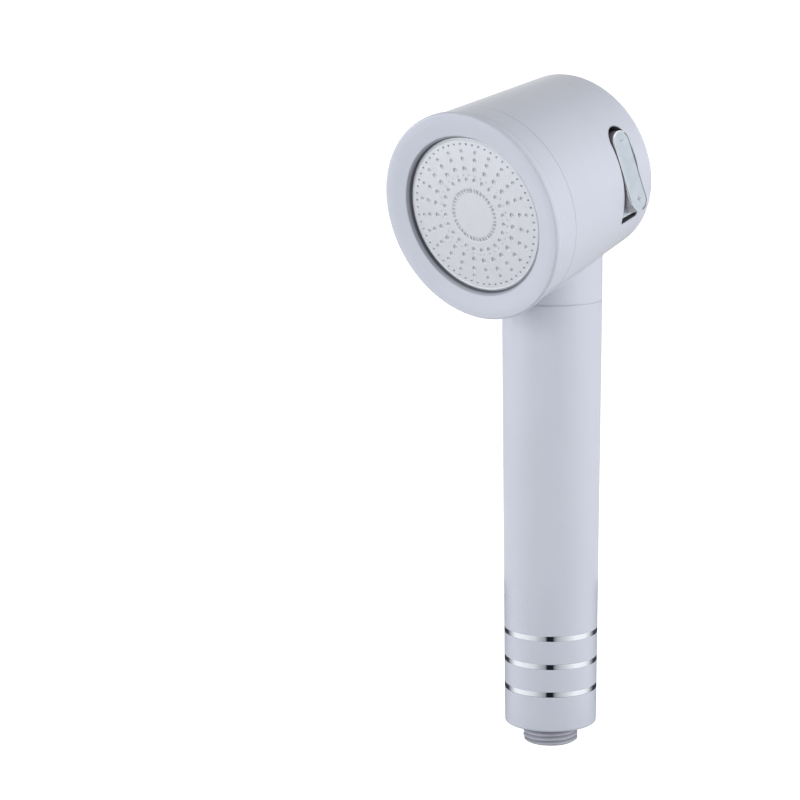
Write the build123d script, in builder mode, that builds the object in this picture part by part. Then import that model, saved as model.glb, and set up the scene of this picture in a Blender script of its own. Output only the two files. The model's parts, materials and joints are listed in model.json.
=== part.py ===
"""Handheld shower head with a stop rocker and a silicone massage brush.

The handle stands on +Z. The origin is the centre of the hose thread's sealing face,
at the bottom of the inlet nipple. The drum-shaped head sits on top of the handle and
looks towards -Y, tilted a little downwards. The rocker is on the +X side.
All lengths are millimetres and all angles are degrees.
"""

from build123d import *
from math import cos, radians, sin, tan
import os

os.makedirs("parts", exist_ok=True)

# ---------------------------------------------------------------- driving dimensions

# fits
SLIP = 0.05            # radial clearance of pieces that are pushed together
RUN = 0.06             # radial clearance of pieces that move on each other
FACE_GAP = 0.05        # axial play between stacked faces that must not bind
SEAL_RUN = 0.02        # sliding seal to its bore

# inlet nipple, G 1/2 hose thread
THREAD_R = 20.955 / 2  # major radius of the thread
THREAD_LEN = 7.4
UNDERCUT_R = 10.2      # plain neck above the thread
UNDERCUT_LEN = 0.3     # what the handle leaves of that neck in view
INLET_BORE_R = 7.0
INLET_THROAT_R = 6.2
NIPPLE_FLANGE_R = 15.4
NIPPLE_FLANGE_T = 2.5
CUP_WALL = 2.2
CUP_DEPTH = 12.0
RESTRICTOR_T = 2.4
RESTRICTOR_HOLE_R = 2.6
RESTRICTOR_Z = 6.4     # lower face of the restrictor inside the nipple

# handle
HANDLE_BOTTOM_R = 17.6
HANDLE_TOP_R = 18.95
HANDLE_TOP_Z = 172.8   # seam between the handle and the neck
HANDLE_EDGE = 1.0      # chamfer of the lower edge
CAP_FLOOR_T = 3.3
BAND_Z = (22.5, 33.4, 44.5)   # middle heights of the chrome rings
BAND_H = 2.1
SPIGOT_R = 15.6        # tube that carries the rings
SPIGOT_WALL = 1.6
SLEEVE_BORE_R = 15.9

# water tube
TUBE_R = 10.0
TUBE_WALL = 2.0
TUBE_LIFT = 2.0        # lower end of the tube above the nipple's flange
TUBE_TOP_Z = 188.0
TUBE_SPACER_Z = (80.0, 132.0)
TUBE_SPACER_H = 6.0
TUBE_SPACER_WALL = 1.6
TUBE_SPACER_FINS = 4
TUBE_SPACER_FIN_T = 1.8
SEAL_H = 2.0           # height of the square tube seals
SEAL_DEPTH = 1.2       # depth of their grooves

# head drum; s is measured along the drum's axis, towards the spray face
HEAD_TILT = 13.5       # how far the spray face looks down
HEAD_Y = -8.9
HEAD_Z = 217.6
FRONT_S = 41.5
SEAM_S = 28.2          # joint between the drum and the face collar
REAR_S = -26.1
FRONT_R = 39.2
REAR_R = 34.5
REAR_EDGE_R = 3.2      # rounding of the rear rim
SHELL_WALL = 2.6
REAR_LIP = 4.0         # depth of the lip that holds the brush pad

# neck between the handle and the drum
NECK_SPIGOT_LEN = 14.0
NECK_SPIGOT_WALL = 2.6
NECK_FILLET = 2.0
NECK_TOP_Z = 196.0     # the neck ends inside the drum's wall

# face collar and spray plate
COLLAR_WALL = 2.9      # wall of the collar at the seam, outside the drum's spigot
COLLAR_SPIGOT_WALL = 2.8
COLLAR_SPIGOT_LEN = 7.8
RING_S = 37.0          # where the collar's proud front ring begins
RING_EASE = 1.9        # length of the ramp up to it
RING_STEP = 0.1        # how far that ring stands out of the drum's front radius
RING_EDGE_R = 2.0      # rounding of the ring's outer edge
RIM_R = 30.1           # inner edge of the ring's face
RIM_DEPTH = 1.5
PLATE_VIEW_R = 28.9    # what the collar leaves open of the spray plate
PLATE_DOME_R = 28.5    # edge of its domed middle
PLATE_DEPTH = 3.2
PLATE_DOME = 0.67
PLATE_T = 0.5
GASKET_W = 2.2

# rows of nozzles, from the inside out
NOZZLE_ROW_R = (13.6, 17.7, 21.4, 24.3, 27.0)
NOZZLE_COUNT = (24, 24, 24, 24, 60)
NOZZLE_R = (0.45, 0.5, 0.45, 0.4, 0.33)
NOZZLE_START = 4.0     # angle of the first nozzle of a row

# water chamber behind the plate
CHAMBER_LIP = 2.0      # width of the step that the chamber plate rests on
CHAMBER_LIP_S = 25.6
CHAMBER_LIP_T = 1.4
CHAMBER_PLATE_T = 2.6
CHAMBER_SEAL_H = 1.2
CHAMBER_SEAL_W = 1.3

# brush
REAR_RIM_W = 5.6       # rim of the drum round the brush
BRUSH_GAP = 0.3        # soft pad to that rim
BRUSH_BASE_PROUD = 0.8 # how far the pad's base stands out of the rim
BRISTLE_LEN = 2.8
BRISTLE_R = 1.0        # six-sided bristles, set in rings
BRISTLE_PITCH = 4.9    # from ring to ring, and about the same along a ring
BRISTLE_MARGIN = 3.2   # outermost ring to the pad's edge, at least
BRUSH_EDGE_R = 0.9
BRUSH_FLANGE_W = 2.7
BRUSH_FLANGE_T = 1.6
BACKING_T = 1.4        # stiff plate behind the pad
BACKING_FLANGE_T = 1.0
BRUSH_SKIN_T = 3.0     # silicone between the bristles and the stiff plate
BRUSH_SKIRT_W = 3.2    # wall of the pad round the stiff plate
SNAP_RING_T = 1.2
SNAP_RING_W = 3.3      # the ring's width, at least
SNAP_RING_BITE = 1.0   # how far the ring reaches over the stiff plate's edge, at least
SNAP_RING_DEPTH = 0.5  # how deep the ring sits in the drum's groove
SNAP_RING_GAP = 28.0   # degrees cut out, so that it can be squeezed past the step

# rocker: recess, tray, paddle and pin, in the drum's own frame
RECESS_S = -10.4       # middle of the recess along the drum's axis
RECESS_W = 11.1
RECESS_TOP_V = 20.0    # v is measured across the axis, upwards
RECESS_BOTTOM_V = -16.3
RECESS_CORNER_R = 1.2
TRAY_WALL = 1.2
TRAY_FLOOR_X = 22.4    # inner face of the floor
PIN_X = 27.0
PIN_V = 1.9
PIN_R = 1.25
PADDLE_W = 9.3
PADDLE_LEN = 31.7
PADDLE_FACE = 8.9      # face of the paddle above its pin
PADDLE_SKIRT = 1.1     # skirt of the paddle below its pin
PADDLE_WALL = 1.5
PADDLE_EDGE = 0.5
REST_ANGLE = 11.2      # lower end of the paddle swung out
ARM_T = 2.3            # across its swing
ARM_W = 4.4
NOSE_R = 2.2           # rounded end of the arm
HUB_R = 3.0
SLOT_MARGIN = 0.4      # arm to the edges of the slot in the tray's floor

# valve
BORE_R = 5.0
VALVE_WALL = 1.6
VALVE_GAP = 0.35       # housing of the valve to the tray
STEM_R = 2.4
GLAND_T = 2.8
GLAND_TOP_V = -4.7     # leaves the stem's head free at its lowest place
NOTCH_WALL = 1.5
NOTCH_PLAY = 0.05      # nose of the arm to each side of its notch
NOTCH_FLOOR_T = 2.0    # what the notch leaves of the head
HEAD_R = 4.6           # head of the spool, with the notch for the arm
SPOOL_LEN = 15.9       # middle of the piston to middle of the notch
PISTON_H = 7.6
PISTON_LAND = 0.4      # piston above and below its seals
PISTON_SEAL_H = 1.3
PISTON_SEAL_DEPTH = 0.9
PORT_R = 2.0
BORE_FLOOR_V = -21.5
VALVE_FLOOR_T = 2.0
OUTLET_BORE_R = 3.0
OUTLET_WALL = 1.5
SOCKET_WALL = 2.0
SOCKET_FOOT_Z = 178.0
SOCKET_TOP_Z = 192.0
SOCKET_ROOF_T = 2.0
FEED_R = 3.0           # riser from the socket to the valve
FEED_WALL = 1.6
FEED_IN = 9.6          # from the valve's middle inwards to the riser's
FEED_FRONT = 2.9       # and towards the spray face

# ------------------------------------------------------------------- derived places

HANDLE_BOTTOM_Z = THREAD_LEN + UNDERCUT_LEN
CAP_FLOOR_Z = HANDLE_BOTTOM_Z + CAP_FLOOR_T
SLEEVE_FOOT_Z = CAP_FLOOR_Z + NIPPLE_FLANGE_T
RING_BORE_R = SPIGOT_R + SLIP
BAND_TOP_Z = BAND_Z[-1] + BAND_H / 2
TUBE_FOOT_Z = SLEEVE_FOOT_Z + TUBE_LIFT
TUBE_BORE_R = TUBE_R - TUBE_WALL
CUP_R = TUBE_R + SLIP

tilt = radians(HEAD_TILT)
FACE_DIR = Vector(0, -cos(tilt), -sin(tilt))
UP_DIR = Vector(0, -sin(tilt), cos(tilt))
HEAD_CENTRE = Vector(0, HEAD_Y, HEAD_Z)
HEAD_AXIS = Axis(HEAD_CENTRE, FACE_DIR)
# across the drum: x to the side, y up, normal towards the spray face
ACROSS = Plane(origin=HEAD_CENTRE, x_dir=(1, 0, 0), z_dir=FACE_DIR)
# along the drum: x is the radius, y runs towards the spray face
ALONG = Plane(origin=HEAD_CENTRE, x_dir=(1, 0, 0), z_dir=-UP_DIR)
# looking at the rocker: x towards the spray face, y down, normal +X
ROCKER_VIEW = Plane(origin=HEAD_CENTRE, x_dir=FACE_DIR, z_dir=(1, 0, 0))

# upright across the drum: x towards the spray face, y to the side, normal up
UPRIGHT = Plane(origin=HEAD_CENTRE, x_dir=FACE_DIR, z_dir=UP_DIR)


def head_point(x, v, s):
    """Point of the drum's frame: x sideways, v upwards, s towards the spray face."""
    return HEAD_CENTRE + Vector(x, 0, 0) + UP_DIR * v + FACE_DIR * s


def handle_radius(z):
    """Outer radius of the tapered handle at the height z."""
    share = (z - HANDLE_BOTTOM_Z) / (HANDLE_TOP_Z - HANDLE_BOTTOM_Z)
    return HANDLE_BOTTOM_R + (HANDLE_TOP_R - HANDLE_BOTTOM_R) * share


def drum_radius(s):
    """Outer radius of the tapered drum at the axial place s."""
    return REAR_R + (FRONT_R - REAR_R) * (s - REAR_S) / (FRONT_S - REAR_S)


COLLAR_SPIGOT_R = drum_radius(SEAM_S) - COLLAR_WALL
CHAMBER_BORE_R = COLLAR_SPIGOT_R - COLLAR_SPIGOT_WALL
BRUSH_OPENING_R = REAR_R - REAR_RIM_W
BRUSH_R = BRUSH_OPENING_R - BRUSH_GAP


def save(builder, label):
    """Label the finished piece and write it as one STEP file."""
    builder.part.label = label
    export_step(builder.part, f"parts/{label}.step")


# ------------------------------------------------------------------ inlet and handle

with BuildPart() as inlet_nipple:
    with BuildSketch(Plane.XY):
        Circle(THREAD_R)
    extrude(amount=THREAD_LEN)
    with BuildSketch(Plane.XY.offset(THREAD_LEN)):
        Circle(UNDERCUT_R)
    extrude(amount=CAP_FLOOR_Z - THREAD_LEN)
    with BuildSketch(Plane.XY.offset(CAP_FLOOR_Z)):
        Circle(NIPPLE_FLANGE_R)
    extrude(amount=NIPPLE_FLANGE_T)
    with BuildSketch(Plane.XY.offset(SLEEVE_FOOT_Z)):
        Circle(CUP_R + CUP_WALL)
    extrude(amount=CUP_DEPTH)
    with BuildSketch(Plane.XY.offset(SLEEVE_FOOT_Z)):
        Circle(CUP_R)
    extrude(amount=CUP_DEPTH, mode=Mode.SUBTRACT)
    with BuildSketch(Plane.XY):
        Circle(INLET_BORE_R)
    extrude(amount=RESTRICTOR_Z + RESTRICTOR_T, mode=Mode.SUBTRACT)
    with BuildSketch(Plane.XY):
        Circle(INLET_THROAT_R)
    extrude(amount=SLEEVE_FOOT_Z + CUP_DEPTH, mode=Mode.SUBTRACT)
save(inlet_nipple, "inlet_nipple")

with BuildPart() as flow_restrictor:
    with BuildSketch(Plane.XY.offset(RESTRICTOR_Z)):
        Circle(INLET_BORE_R - SLIP)
        Circle(RESTRICTOR_HOLE_R, mode=Mode.SUBTRACT)
    extrude(amount=RESTRICTOR_T)
save(flow_restrictor, "flow_restrictor")

with BuildPart() as end_cap:
    cap_top = BAND_Z[0] - BAND_H / 2
    with BuildSketch(Plane.XZ):
        with BuildLine():
            Polyline(
                (THREAD_R + SLIP, HANDLE_BOTTOM_Z),
                (HANDLE_BOTTOM_R - HANDLE_EDGE, HANDLE_BOTTOM_Z),
                (handle_radius(HANDLE_BOTTOM_Z + HANDLE_EDGE), HANDLE_BOTTOM_Z + HANDLE_EDGE),
                (handle_radius(cap_top), cap_top),
                (RING_BORE_R, cap_top),
                (RING_BORE_R, CAP_FLOOR_Z),
                (THREAD_R + SLIP, CAP_FLOOR_Z),
                close=True,
            )
        make_face()
    revolve(axis=Axis.Z)
save(end_cap, "end_cap")


def band(label, z_low, z_high):
    """One ring of the handle's stack, flush with the handle's taper."""
    with BuildPart() as ring:
        with BuildSketch(Plane.XZ):
            with BuildLine():
                Polyline(
                    (RING_BORE_R, z_low),
                    (handle_radius(z_low), z_low),
                    (handle_radius(z_high), z_high),
                    (RING_BORE_R, z_high),
                    close=True,
                )
            make_face()
        revolve(axis=Axis.Z)
    save(ring, label)


for place, middle in zip(("lower", "middle", "upper"), BAND_Z):
    band(f"chrome_ring_{place}", middle - BAND_H / 2, middle + BAND_H / 2)
for place, below, above in zip(("lower", "upper"), BAND_Z, BAND_Z[1:]):
    band(f"spacer_ring_{place}", below + BAND_H / 2, above - BAND_H / 2)

with BuildPart() as handle_sleeve:
    with BuildSketch(Plane.XZ):
        with BuildLine():
            Polyline(
                (SPIGOT_R - SPIGOT_WALL, SLEEVE_FOOT_Z),
                (SPIGOT_R, SLEEVE_FOOT_Z),
                (SPIGOT_R, BAND_TOP_Z),
                (handle_radius(BAND_TOP_Z), BAND_TOP_Z),
                (HANDLE_TOP_R, HANDLE_TOP_Z),
                (SLEEVE_BORE_R, HANDLE_TOP_Z),
                (SLEEVE_BORE_R, BAND_TOP_Z + SLEEVE_BORE_R - SPIGOT_R + SPIGOT_WALL),
                (SPIGOT_R - SPIGOT_WALL, BAND_TOP_Z),
                close=True,
            )
        make_face()
    revolve(axis=Axis.Z)
save(handle_sleeve, "handle_sleeve")

with BuildPart() as water_tube:
    with BuildSketch(Plane.XY.offset(TUBE_FOOT_Z)):
        Circle(TUBE_R)
        Circle(TUBE_BORE_R, mode=Mode.SUBTRACT)
    extrude(amount=TUBE_TOP_Z - TUBE_FOOT_Z)
    tube_seal_z = (TUBE_FOOT_Z + SEAL_H, TUBE_TOP_Z - 2 * SEAL_H)
    for groove_z in tube_seal_z:
        with BuildSketch(Plane.XY.offset(groove_z)):
            Circle(TUBE_R)
            Circle(TUBE_R - SEAL_DEPTH, mode=Mode.SUBTRACT)
        extrude(amount=SEAL_H, mode=Mode.SUBTRACT)
save(water_tube, "water_tube")

for place, seal_z in zip(("lower", "upper"), tube_seal_z):
    with BuildPart() as tube_seal:
        with BuildSketch(Plane.XY.offset(seal_z + FACE_GAP)):
            Circle(CUP_R)
            Circle(TUBE_R - SEAL_DEPTH, mode=Mode.SUBTRACT)
        extrude(amount=SEAL_H - 2 * FACE_GAP)
    save(tube_seal, f"tube_seal_{place}")

for place, spacer_z in zip(("lower", "upper"), TUBE_SPACER_Z):
    with BuildPart() as tube_spacer:
        with BuildSketch(Plane.XY.offset(spacer_z)):
            Circle(TUBE_R + SLIP + TUBE_SPACER_WALL)
            with PolarLocations(0, TUBE_SPACER_FINS):
                Rectangle(SLEEVE_BORE_R - SLIP, TUBE_SPACER_FIN_T, align=(Align.MIN, Align.CENTER))
            Circle(TUBE_R + SLIP, mode=Mode.SUBTRACT)
        extrude(amount=TUBE_SPACER_H)
    save(tube_spacer, f"tube_spacer_{place}")

# --------------------------------------------------------------------------- drum

chamber_lip_r = CHAMBER_BORE_R - CHAMBER_LIP
spigot_end_s = SEAM_S + COLLAR_SPIGOT_LEN
neck_spigot_r = SLEEVE_BORE_R - SLIP
neck_seal_z = HANDLE_TOP_Z - NECK_SPIGOT_LEN / 2
rear_bore_s = REAR_S + REAR_LIP
flange_back_s = rear_bore_s + BRUSH_GAP
backing_s = flange_back_s + BRUSH_FLANGE_T + BRUSH_GAP
ring_back_s = backing_s + BACKING_FLANGE_T + FACE_GAP


def drum_bore(s):
    """Inner radius of the drum's wall at the axial place s."""
    return drum_radius(s) - SHELL_WALL


# the brush's stiff plate has to pass the chamber's step and to fit in the drum
backing_r = min(chamber_lip_r, drum_bore(backing_s)) - SLIP
snap_ring_r = drum_bore(ring_back_s) + SNAP_RING_DEPTH
snap_ring_bore_r = min(backing_r - SNAP_RING_BITE, snap_ring_r - SNAP_RING_W)


def recess_outline(x, grow):
    """Outline of the rocker's recess at the depth x: round top, square bottom."""
    half = RECESS_W / 2 + grow
    with BuildSketch(ROCKER_VIEW.offset(x), mode=Mode.PRIVATE) as outline:
        with Locations((RECESS_S, -(RECESS_TOP_V + RECESS_BOTTOM_V) / 2)):
            Rectangle(2 * half, RECESS_TOP_V - RECESS_BOTTOM_V + 2 * grow)
        fillet(outline.vertices().group_by(Axis.Y)[0], half - 0.01)
        fillet(outline.vertices().group_by(Axis.Y)[-1], RECESS_CORNER_R + grow)
    return outline.sketch


with BuildPart() as head_shell:
    shoulder_s = REAR_S + REAR_EDGE_R
    rim_flat_r = drum_radius(shoulder_s) - REAR_EDGE_R
    with BuildSketch(ALONG):
        with BuildLine():
            Line((0, REAR_S), (rim_flat_r, REAR_S))
            TangentArc((rim_flat_r, REAR_S), (drum_radius(shoulder_s), shoulder_s), tangent=(1, 0))
            Polyline(
                (drum_radius(shoulder_s), shoulder_s),
                (drum_radius(SEAM_S), SEAM_S),
                (0, SEAM_S),
                (0, REAR_S),
            )
        make_face()
    revolve(axis=HEAD_AXIS)
    # the neck runs up into the drum
    with BuildSketch(Plane.XY.offset(HANDLE_TOP_Z)):
        Circle(HANDLE_TOP_R)
    extrude(amount=NECK_TOP_Z - HANDLE_TOP_Z)
    plain = (GeomType.CIRCLE, GeomType.LINE)
    neck_edges = head_shell.edges().filter_by(lambda edge: edge.geom_type not in plain)
    fillet(neck_edges, NECK_FILLET)
    # threaded spigot that the face collar screws onto, at its outer radius
    with BuildSketch(ACROSS.offset(SEAM_S)):
        Circle(COLLAR_SPIGOT_R)
    extrude(amount=COLLAR_SPIGOT_LEN)
    # hollow of the drum, from the brush's rim to the step for the chamber plate
    with BuildSketch(ALONG):
        with BuildLine():
            Polyline(
                (0, REAR_S),
                (BRUSH_OPENING_R, REAR_S),
                (BRUSH_OPENING_R, rear_bore_s),
                (drum_bore(rear_bore_s), rear_bore_s),
                (drum_bore(CHAMBER_LIP_S), CHAMBER_LIP_S),
                (chamber_lip_r, CHAMBER_LIP_S),
                (chamber_lip_r, CHAMBER_LIP_S + CHAMBER_LIP_T),
                (CHAMBER_BORE_R, CHAMBER_LIP_S + CHAMBER_LIP_T),
                (CHAMBER_BORE_R, spigot_end_s),
                (0, spigot_end_s),
                close=True,
            )
        make_face()
    revolve(axis=HEAD_AXIS, mode=Mode.SUBTRACT)
    # spigot that plugs into the handle, with the groove of its seal
    with BuildSketch(Plane.XY.offset(HANDLE_TOP_Z - NECK_SPIGOT_LEN)):
        Circle(neck_spigot_r)
    extrude(amount=NECK_SPIGOT_LEN)
    with BuildSketch(Plane.XY.offset(neck_seal_z)):
        Circle(neck_spigot_r)
        Circle(neck_spigot_r - SEAL_DEPTH, mode=Mode.SUBTRACT)
    extrude(amount=SEAL_H, mode=Mode.SUBTRACT)
    # the neck's bore opens into the drum
    with BuildSketch(Plane.XY.offset(HANDLE_TOP_Z - NECK_SPIGOT_LEN)):
        Circle(neck_spigot_r - NECK_SPIGOT_WALL)
    extrude(amount=NECK_TOP_Z - HANDLE_TOP_Z + NECK_SPIGOT_LEN, mode=Mode.SUBTRACT)
    # groove of the brush's snap ring
    with BuildSketch(ACROSS.offset(ring_back_s - FACE_GAP)):
        Circle(snap_ring_r + SLIP)
    extrude(amount=SNAP_RING_T + 2 * FACE_GAP, mode=Mode.SUBTRACT)
    # opening of the rocker
    extrude(recess_outline(0, 0), amount=FRONT_R, dir=(1, 0, 0), mode=Mode.SUBTRACT)
save(head_shell, "head_shell")

with BuildPart() as neck_seal:
    with BuildSketch(Plane.XY.offset(neck_seal_z + FACE_GAP)):
        Circle(SLEEVE_BORE_R)
        Circle(neck_spigot_r - SEAL_DEPTH, mode=Mode.SUBTRACT)
    extrude(amount=SEAL_H - 2 * FACE_GAP)
save(neck_seal, "neck_seal")

# --------------------------------------------------------- collar, plate and chamber

lip_under_s = FRONT_S - PLATE_DEPTH
plate_front_s = lip_under_s - FACE_GAP
plate_back_s = plate_front_s - PLATE_T
plate_flange_r = COLLAR_SPIGOT_R - SLIP
collar_bore_r = COLLAR_SPIGOT_R + RUN

with BuildPart() as face_collar:
    ring_r = FRONT_R + RING_STEP
    ring_top_s = RING_S + RING_EASE
    with BuildSketch(ALONG):
        with BuildLine():
            Polyline(
                (PLATE_VIEW_R, lip_under_s),
                (collar_bore_r, lip_under_s),
                (collar_bore_r, SEAM_S + FACE_GAP),
                (drum_radius(SEAM_S), SEAM_S + FACE_GAP),
                (drum_radius(RING_S), RING_S),
                (ring_r, ring_top_s),
                (ring_r, FRONT_S - RING_EDGE_R),
            )
            TangentArc((ring_r, FRONT_S - RING_EDGE_R), (ring_r - RING_EDGE_R, FRONT_S), tangent=(0, 1))
            TangentArc((ring_r - RING_EDGE_R, FRONT_S), (RIM_R, FRONT_S - RIM_DEPTH), tangent=(-1, 0))
            Polyline((RIM_R, FRONT_S - RIM_DEPTH), (PLATE_VIEW_R, lip_under_s))
        make_face()
    revolve(axis=HEAD_AXIS)
save(face_collar, "face_collar")

with BuildPart() as spray_plate:
    with BuildSketch(ALONG):
        with BuildLine():
            Line((0, plate_back_s + PLATE_DOME), (0, plate_front_s + PLATE_DOME))
            TangentArc((0, plate_front_s + PLATE_DOME), (PLATE_DOME_R, plate_front_s), tangent=(1, 0))
            Polyline(
                (PLATE_DOME_R, plate_front_s),
                (plate_flange_r, plate_front_s),
                (plate_flange_r, plate_back_s),
                (PLATE_DOME_R, plate_back_s),
            )
            TangentArc((0, plate_back_s + PLATE_DOME), (PLATE_DOME_R, plate_back_s), tangent=(1, 0))
        make_face()
    revolve(axis=HEAD_AXIS)
    with BuildSketch(ACROSS.offset(plate_back_s - PLATE_T)):
        for row_r, count, hole_r in zip(NOZZLE_ROW_R, NOZZLE_COUNT, NOZZLE_R):
            with PolarLocations(row_r, count, start_angle=NOZZLE_START):
                Circle(hole_r)
    extrude(amount=PLATE_DOME + 3 * PLATE_T, mode=Mode.SUBTRACT)
save(spray_plate, "spray_plate")

with BuildPart() as plate_gasket:
    with BuildSketch(ACROSS.offset(spigot_end_s)):
        Circle(plate_flange_r)
        Circle(plate_flange_r - GASKET_W, mode=Mode.SUBTRACT)
    extrude(amount=plate_back_s - spigot_end_s)
save(plate_gasket, "plate_gasket")

chamber_back_s = CHAMBER_LIP_S + CHAMBER_LIP_T
outlet_r = OUTLET_BORE_R + OUTLET_WALL
rest = radians(REST_ANGLE)
tray_under_x = TRAY_FLOOR_X - TRAY_WALL
valve_x = tray_under_x - VALVE_GAP - VALVE_WALL - BORE_R
feed_x = valve_x - FEED_IN
feed_s = RECESS_S + FEED_FRONT
arm_len = (PIN_X - valve_x) / cos(rest)
notch_v = PIN_V - arm_len * sin(rest)
port_v = notch_v - SPOOL_LEN

with BuildPart() as chamber_plate:
    with BuildSketch(ACROSS.offset(chamber_back_s)):
        Circle(CHAMBER_BORE_R - SLIP)
    extrude(amount=CHAMBER_PLATE_T)
    with BuildSketch(ACROSS.offset(chamber_back_s + (CHAMBER_PLATE_T - CHAMBER_SEAL_H) / 2)):
        Circle(CHAMBER_BORE_R - SLIP)
        Circle(CHAMBER_BORE_R - CHAMBER_SEAL_W, mode=Mode.SUBTRACT)
    extrude(amount=CHAMBER_SEAL_H, mode=Mode.SUBTRACT)
    with BuildSketch(ACROSS.offset(chamber_back_s)):
        with Locations((valve_x, port_v)):
            Circle(outlet_r + SLIP)
    extrude(amount=CHAMBER_PLATE_T, mode=Mode.SUBTRACT)
save(chamber_plate, "chamber_plate")

with BuildPart() as chamber_seal:
    with BuildSketch(ACROSS.offset(chamber_back_s + (CHAMBER_PLATE_T - CHAMBER_SEAL_H) / 2 + FACE_GAP)):
        Circle(CHAMBER_BORE_R)
        Circle(CHAMBER_BORE_R - CHAMBER_SEAL_W, mode=Mode.SUBTRACT)
    extrude(amount=CHAMBER_SEAL_H - 2 * FACE_GAP)
save(chamber_seal, "chamber_seal")

# -------------------------------------------------------------------------- brush

base_s = REAR_S - BRUSH_BASE_PROUD
tip_s = base_s - BRISTLE_LEN
skin_s = base_s + BRUSH_SKIN_T
pocket_r = BRUSH_R - BRUSH_SKIRT_W

with BuildPart() as brush_pad:
    flange_front_s = flange_back_s + BRUSH_FLANGE_T
    with BuildSketch(ALONG):
        with BuildLine():
            Polyline(
                (0, base_s),
                (0, skin_s),
                (pocket_r, skin_s),
                (pocket_r, flange_front_s),
                (BRUSH_R + BRUSH_FLANGE_W, flange_front_s),
                (BRUSH_R + BRUSH_FLANGE_W, flange_back_s),
                (BRUSH_R, flange_back_s),
                (BRUSH_R, base_s + BRUSH_EDGE_R),
            )
            TangentArc((BRUSH_R, base_s + BRUSH_EDGE_R), (BRUSH_R - BRUSH_EDGE_R, base_s), tangent=(0, -1))
            Line((BRUSH_R - BRUSH_EDGE_R, base_s), (0, base_s))
        make_face()
    revolve(axis=HEAD_AXIS)
    with BuildSketch(ACROSS.offset(tip_s)):
        RegularPolygon(BRISTLE_R, 6)
        for ring in range(1, int((BRUSH_R - BRISTLE_MARGIN) / BRISTLE_PITCH) + 1):
            with PolarLocations(ring * BRISTLE_PITCH, 6 * ring):
                RegularPolygon(BRISTLE_R, 6)
    extrude(amount=base_s - tip_s)
save(brush_pad, "brush_pad")

# stiff hat-shaped plate that backs the pad
with BuildPart() as brush_backing:
    cup_r = pocket_r - BRUSH_GAP
    cup_back_s = skin_s + BRUSH_GAP
    with BuildSketch(ALONG):
        with BuildLine():
            Polyline(
                (0, cup_back_s),
                (cup_r, cup_back_s),
                (cup_r, backing_s),
                (backing_r, backing_s),
                (backing_r, backing_s + BACKING_FLANGE_T),
                (cup_r - BACKING_T, backing_s + BACKING_FLANGE_T),
                (cup_r - BACKING_T, cup_back_s + BACKING_T),
                (0, cup_back_s + BACKING_T),
                close=True,
            )
        make_face()
    revolve(axis=HEAD_AXIS)
save(brush_backing, "brush_backing")

with BuildPart() as brush_snap_ring:
    with BuildSketch(ACROSS.offset(ring_back_s)):
        Circle(snap_ring_r)
        Circle(snap_ring_bore_r, mode=Mode.SUBTRACT)
        half_gap = snap_ring_r * tan(radians(SNAP_RING_GAP / 2))
        with BuildLine():
            Polyline((0, 0), (-half_gap, -snap_ring_r), (half_gap, -snap_ring_r), close=True)
        make_face(mode=Mode.SUBTRACT)
    extrude(amount=SNAP_RING_T)
save(brush_snap_ring, "brush_snap_ring")

# ------------------------------------------------------------------------- rocker

tray_r = drum_bore(RECESS_S)
out_dir = Vector(cos(rest), 0, 0) + UP_DIR * sin(rest)
# looking at the paddle's face: x towards the spray face, y down the paddle
PADDLE_VIEW = Plane(origin=head_point(PIN_X, PIN_V, RECESS_S), x_dir=FACE_DIR, z_dir=out_dir)

with BuildPart() as rocker_tray:
    extrude(recess_outline(tray_under_x, TRAY_WALL), amount=tray_r - tray_under_x, dir=(1, 0, 0))
    # cut to the inside of the drum's wall
    with BuildSketch(ALONG):
        with BuildLine():
            Polyline(
                (0, REAR_S),
                (drum_bore(REAR_S) - FACE_GAP, REAR_S),
                (drum_bore(SEAM_S) - FACE_GAP, SEAM_S),
                (0, SEAM_S),
                close=True,
            )
        make_face()
    revolve(axis=HEAD_AXIS, mode=Mode.INTERSECT)
    extrude(recess_outline(TRAY_FLOOR_X, 0), amount=FRONT_R, dir=(1, 0, 0), mode=Mode.SUBTRACT)
    # slot of the arm
    swing = (PIN_X - tray_under_x) * tan(rest) + ARM_T / 2 + SLOT_MARGIN
    with BuildSketch(ROCKER_VIEW.offset(tray_under_x)):
        with Locations((RECESS_S, -PIN_V)):
            Rectangle(ARM_W + 2 * SLOT_MARGIN, 2 * swing)
    extrude(amount=TRAY_WALL, mode=Mode.SUBTRACT)
    with BuildSketch(ACROSS.offset(RECESS_S - RECESS_W / 2 - TRAY_WALL)):
        with Locations((PIN_X, PIN_V)):
            Circle(PIN_R + SLIP)
    extrude(amount=RECESS_W + 2 * TRAY_WALL, mode=Mode.SUBTRACT)
save(rocker_tray, "rocker_tray")

with BuildPart() as rocker_pin:
    with BuildSketch(ACROSS.offset(RECESS_S - RECESS_W / 2 - TRAY_WALL)):
        with Locations((PIN_X, PIN_V)):
            Circle(PIN_R)
    extrude(amount=RECESS_W + 2 * TRAY_WALL)
save(rocker_pin, "rocker_pin")

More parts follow.
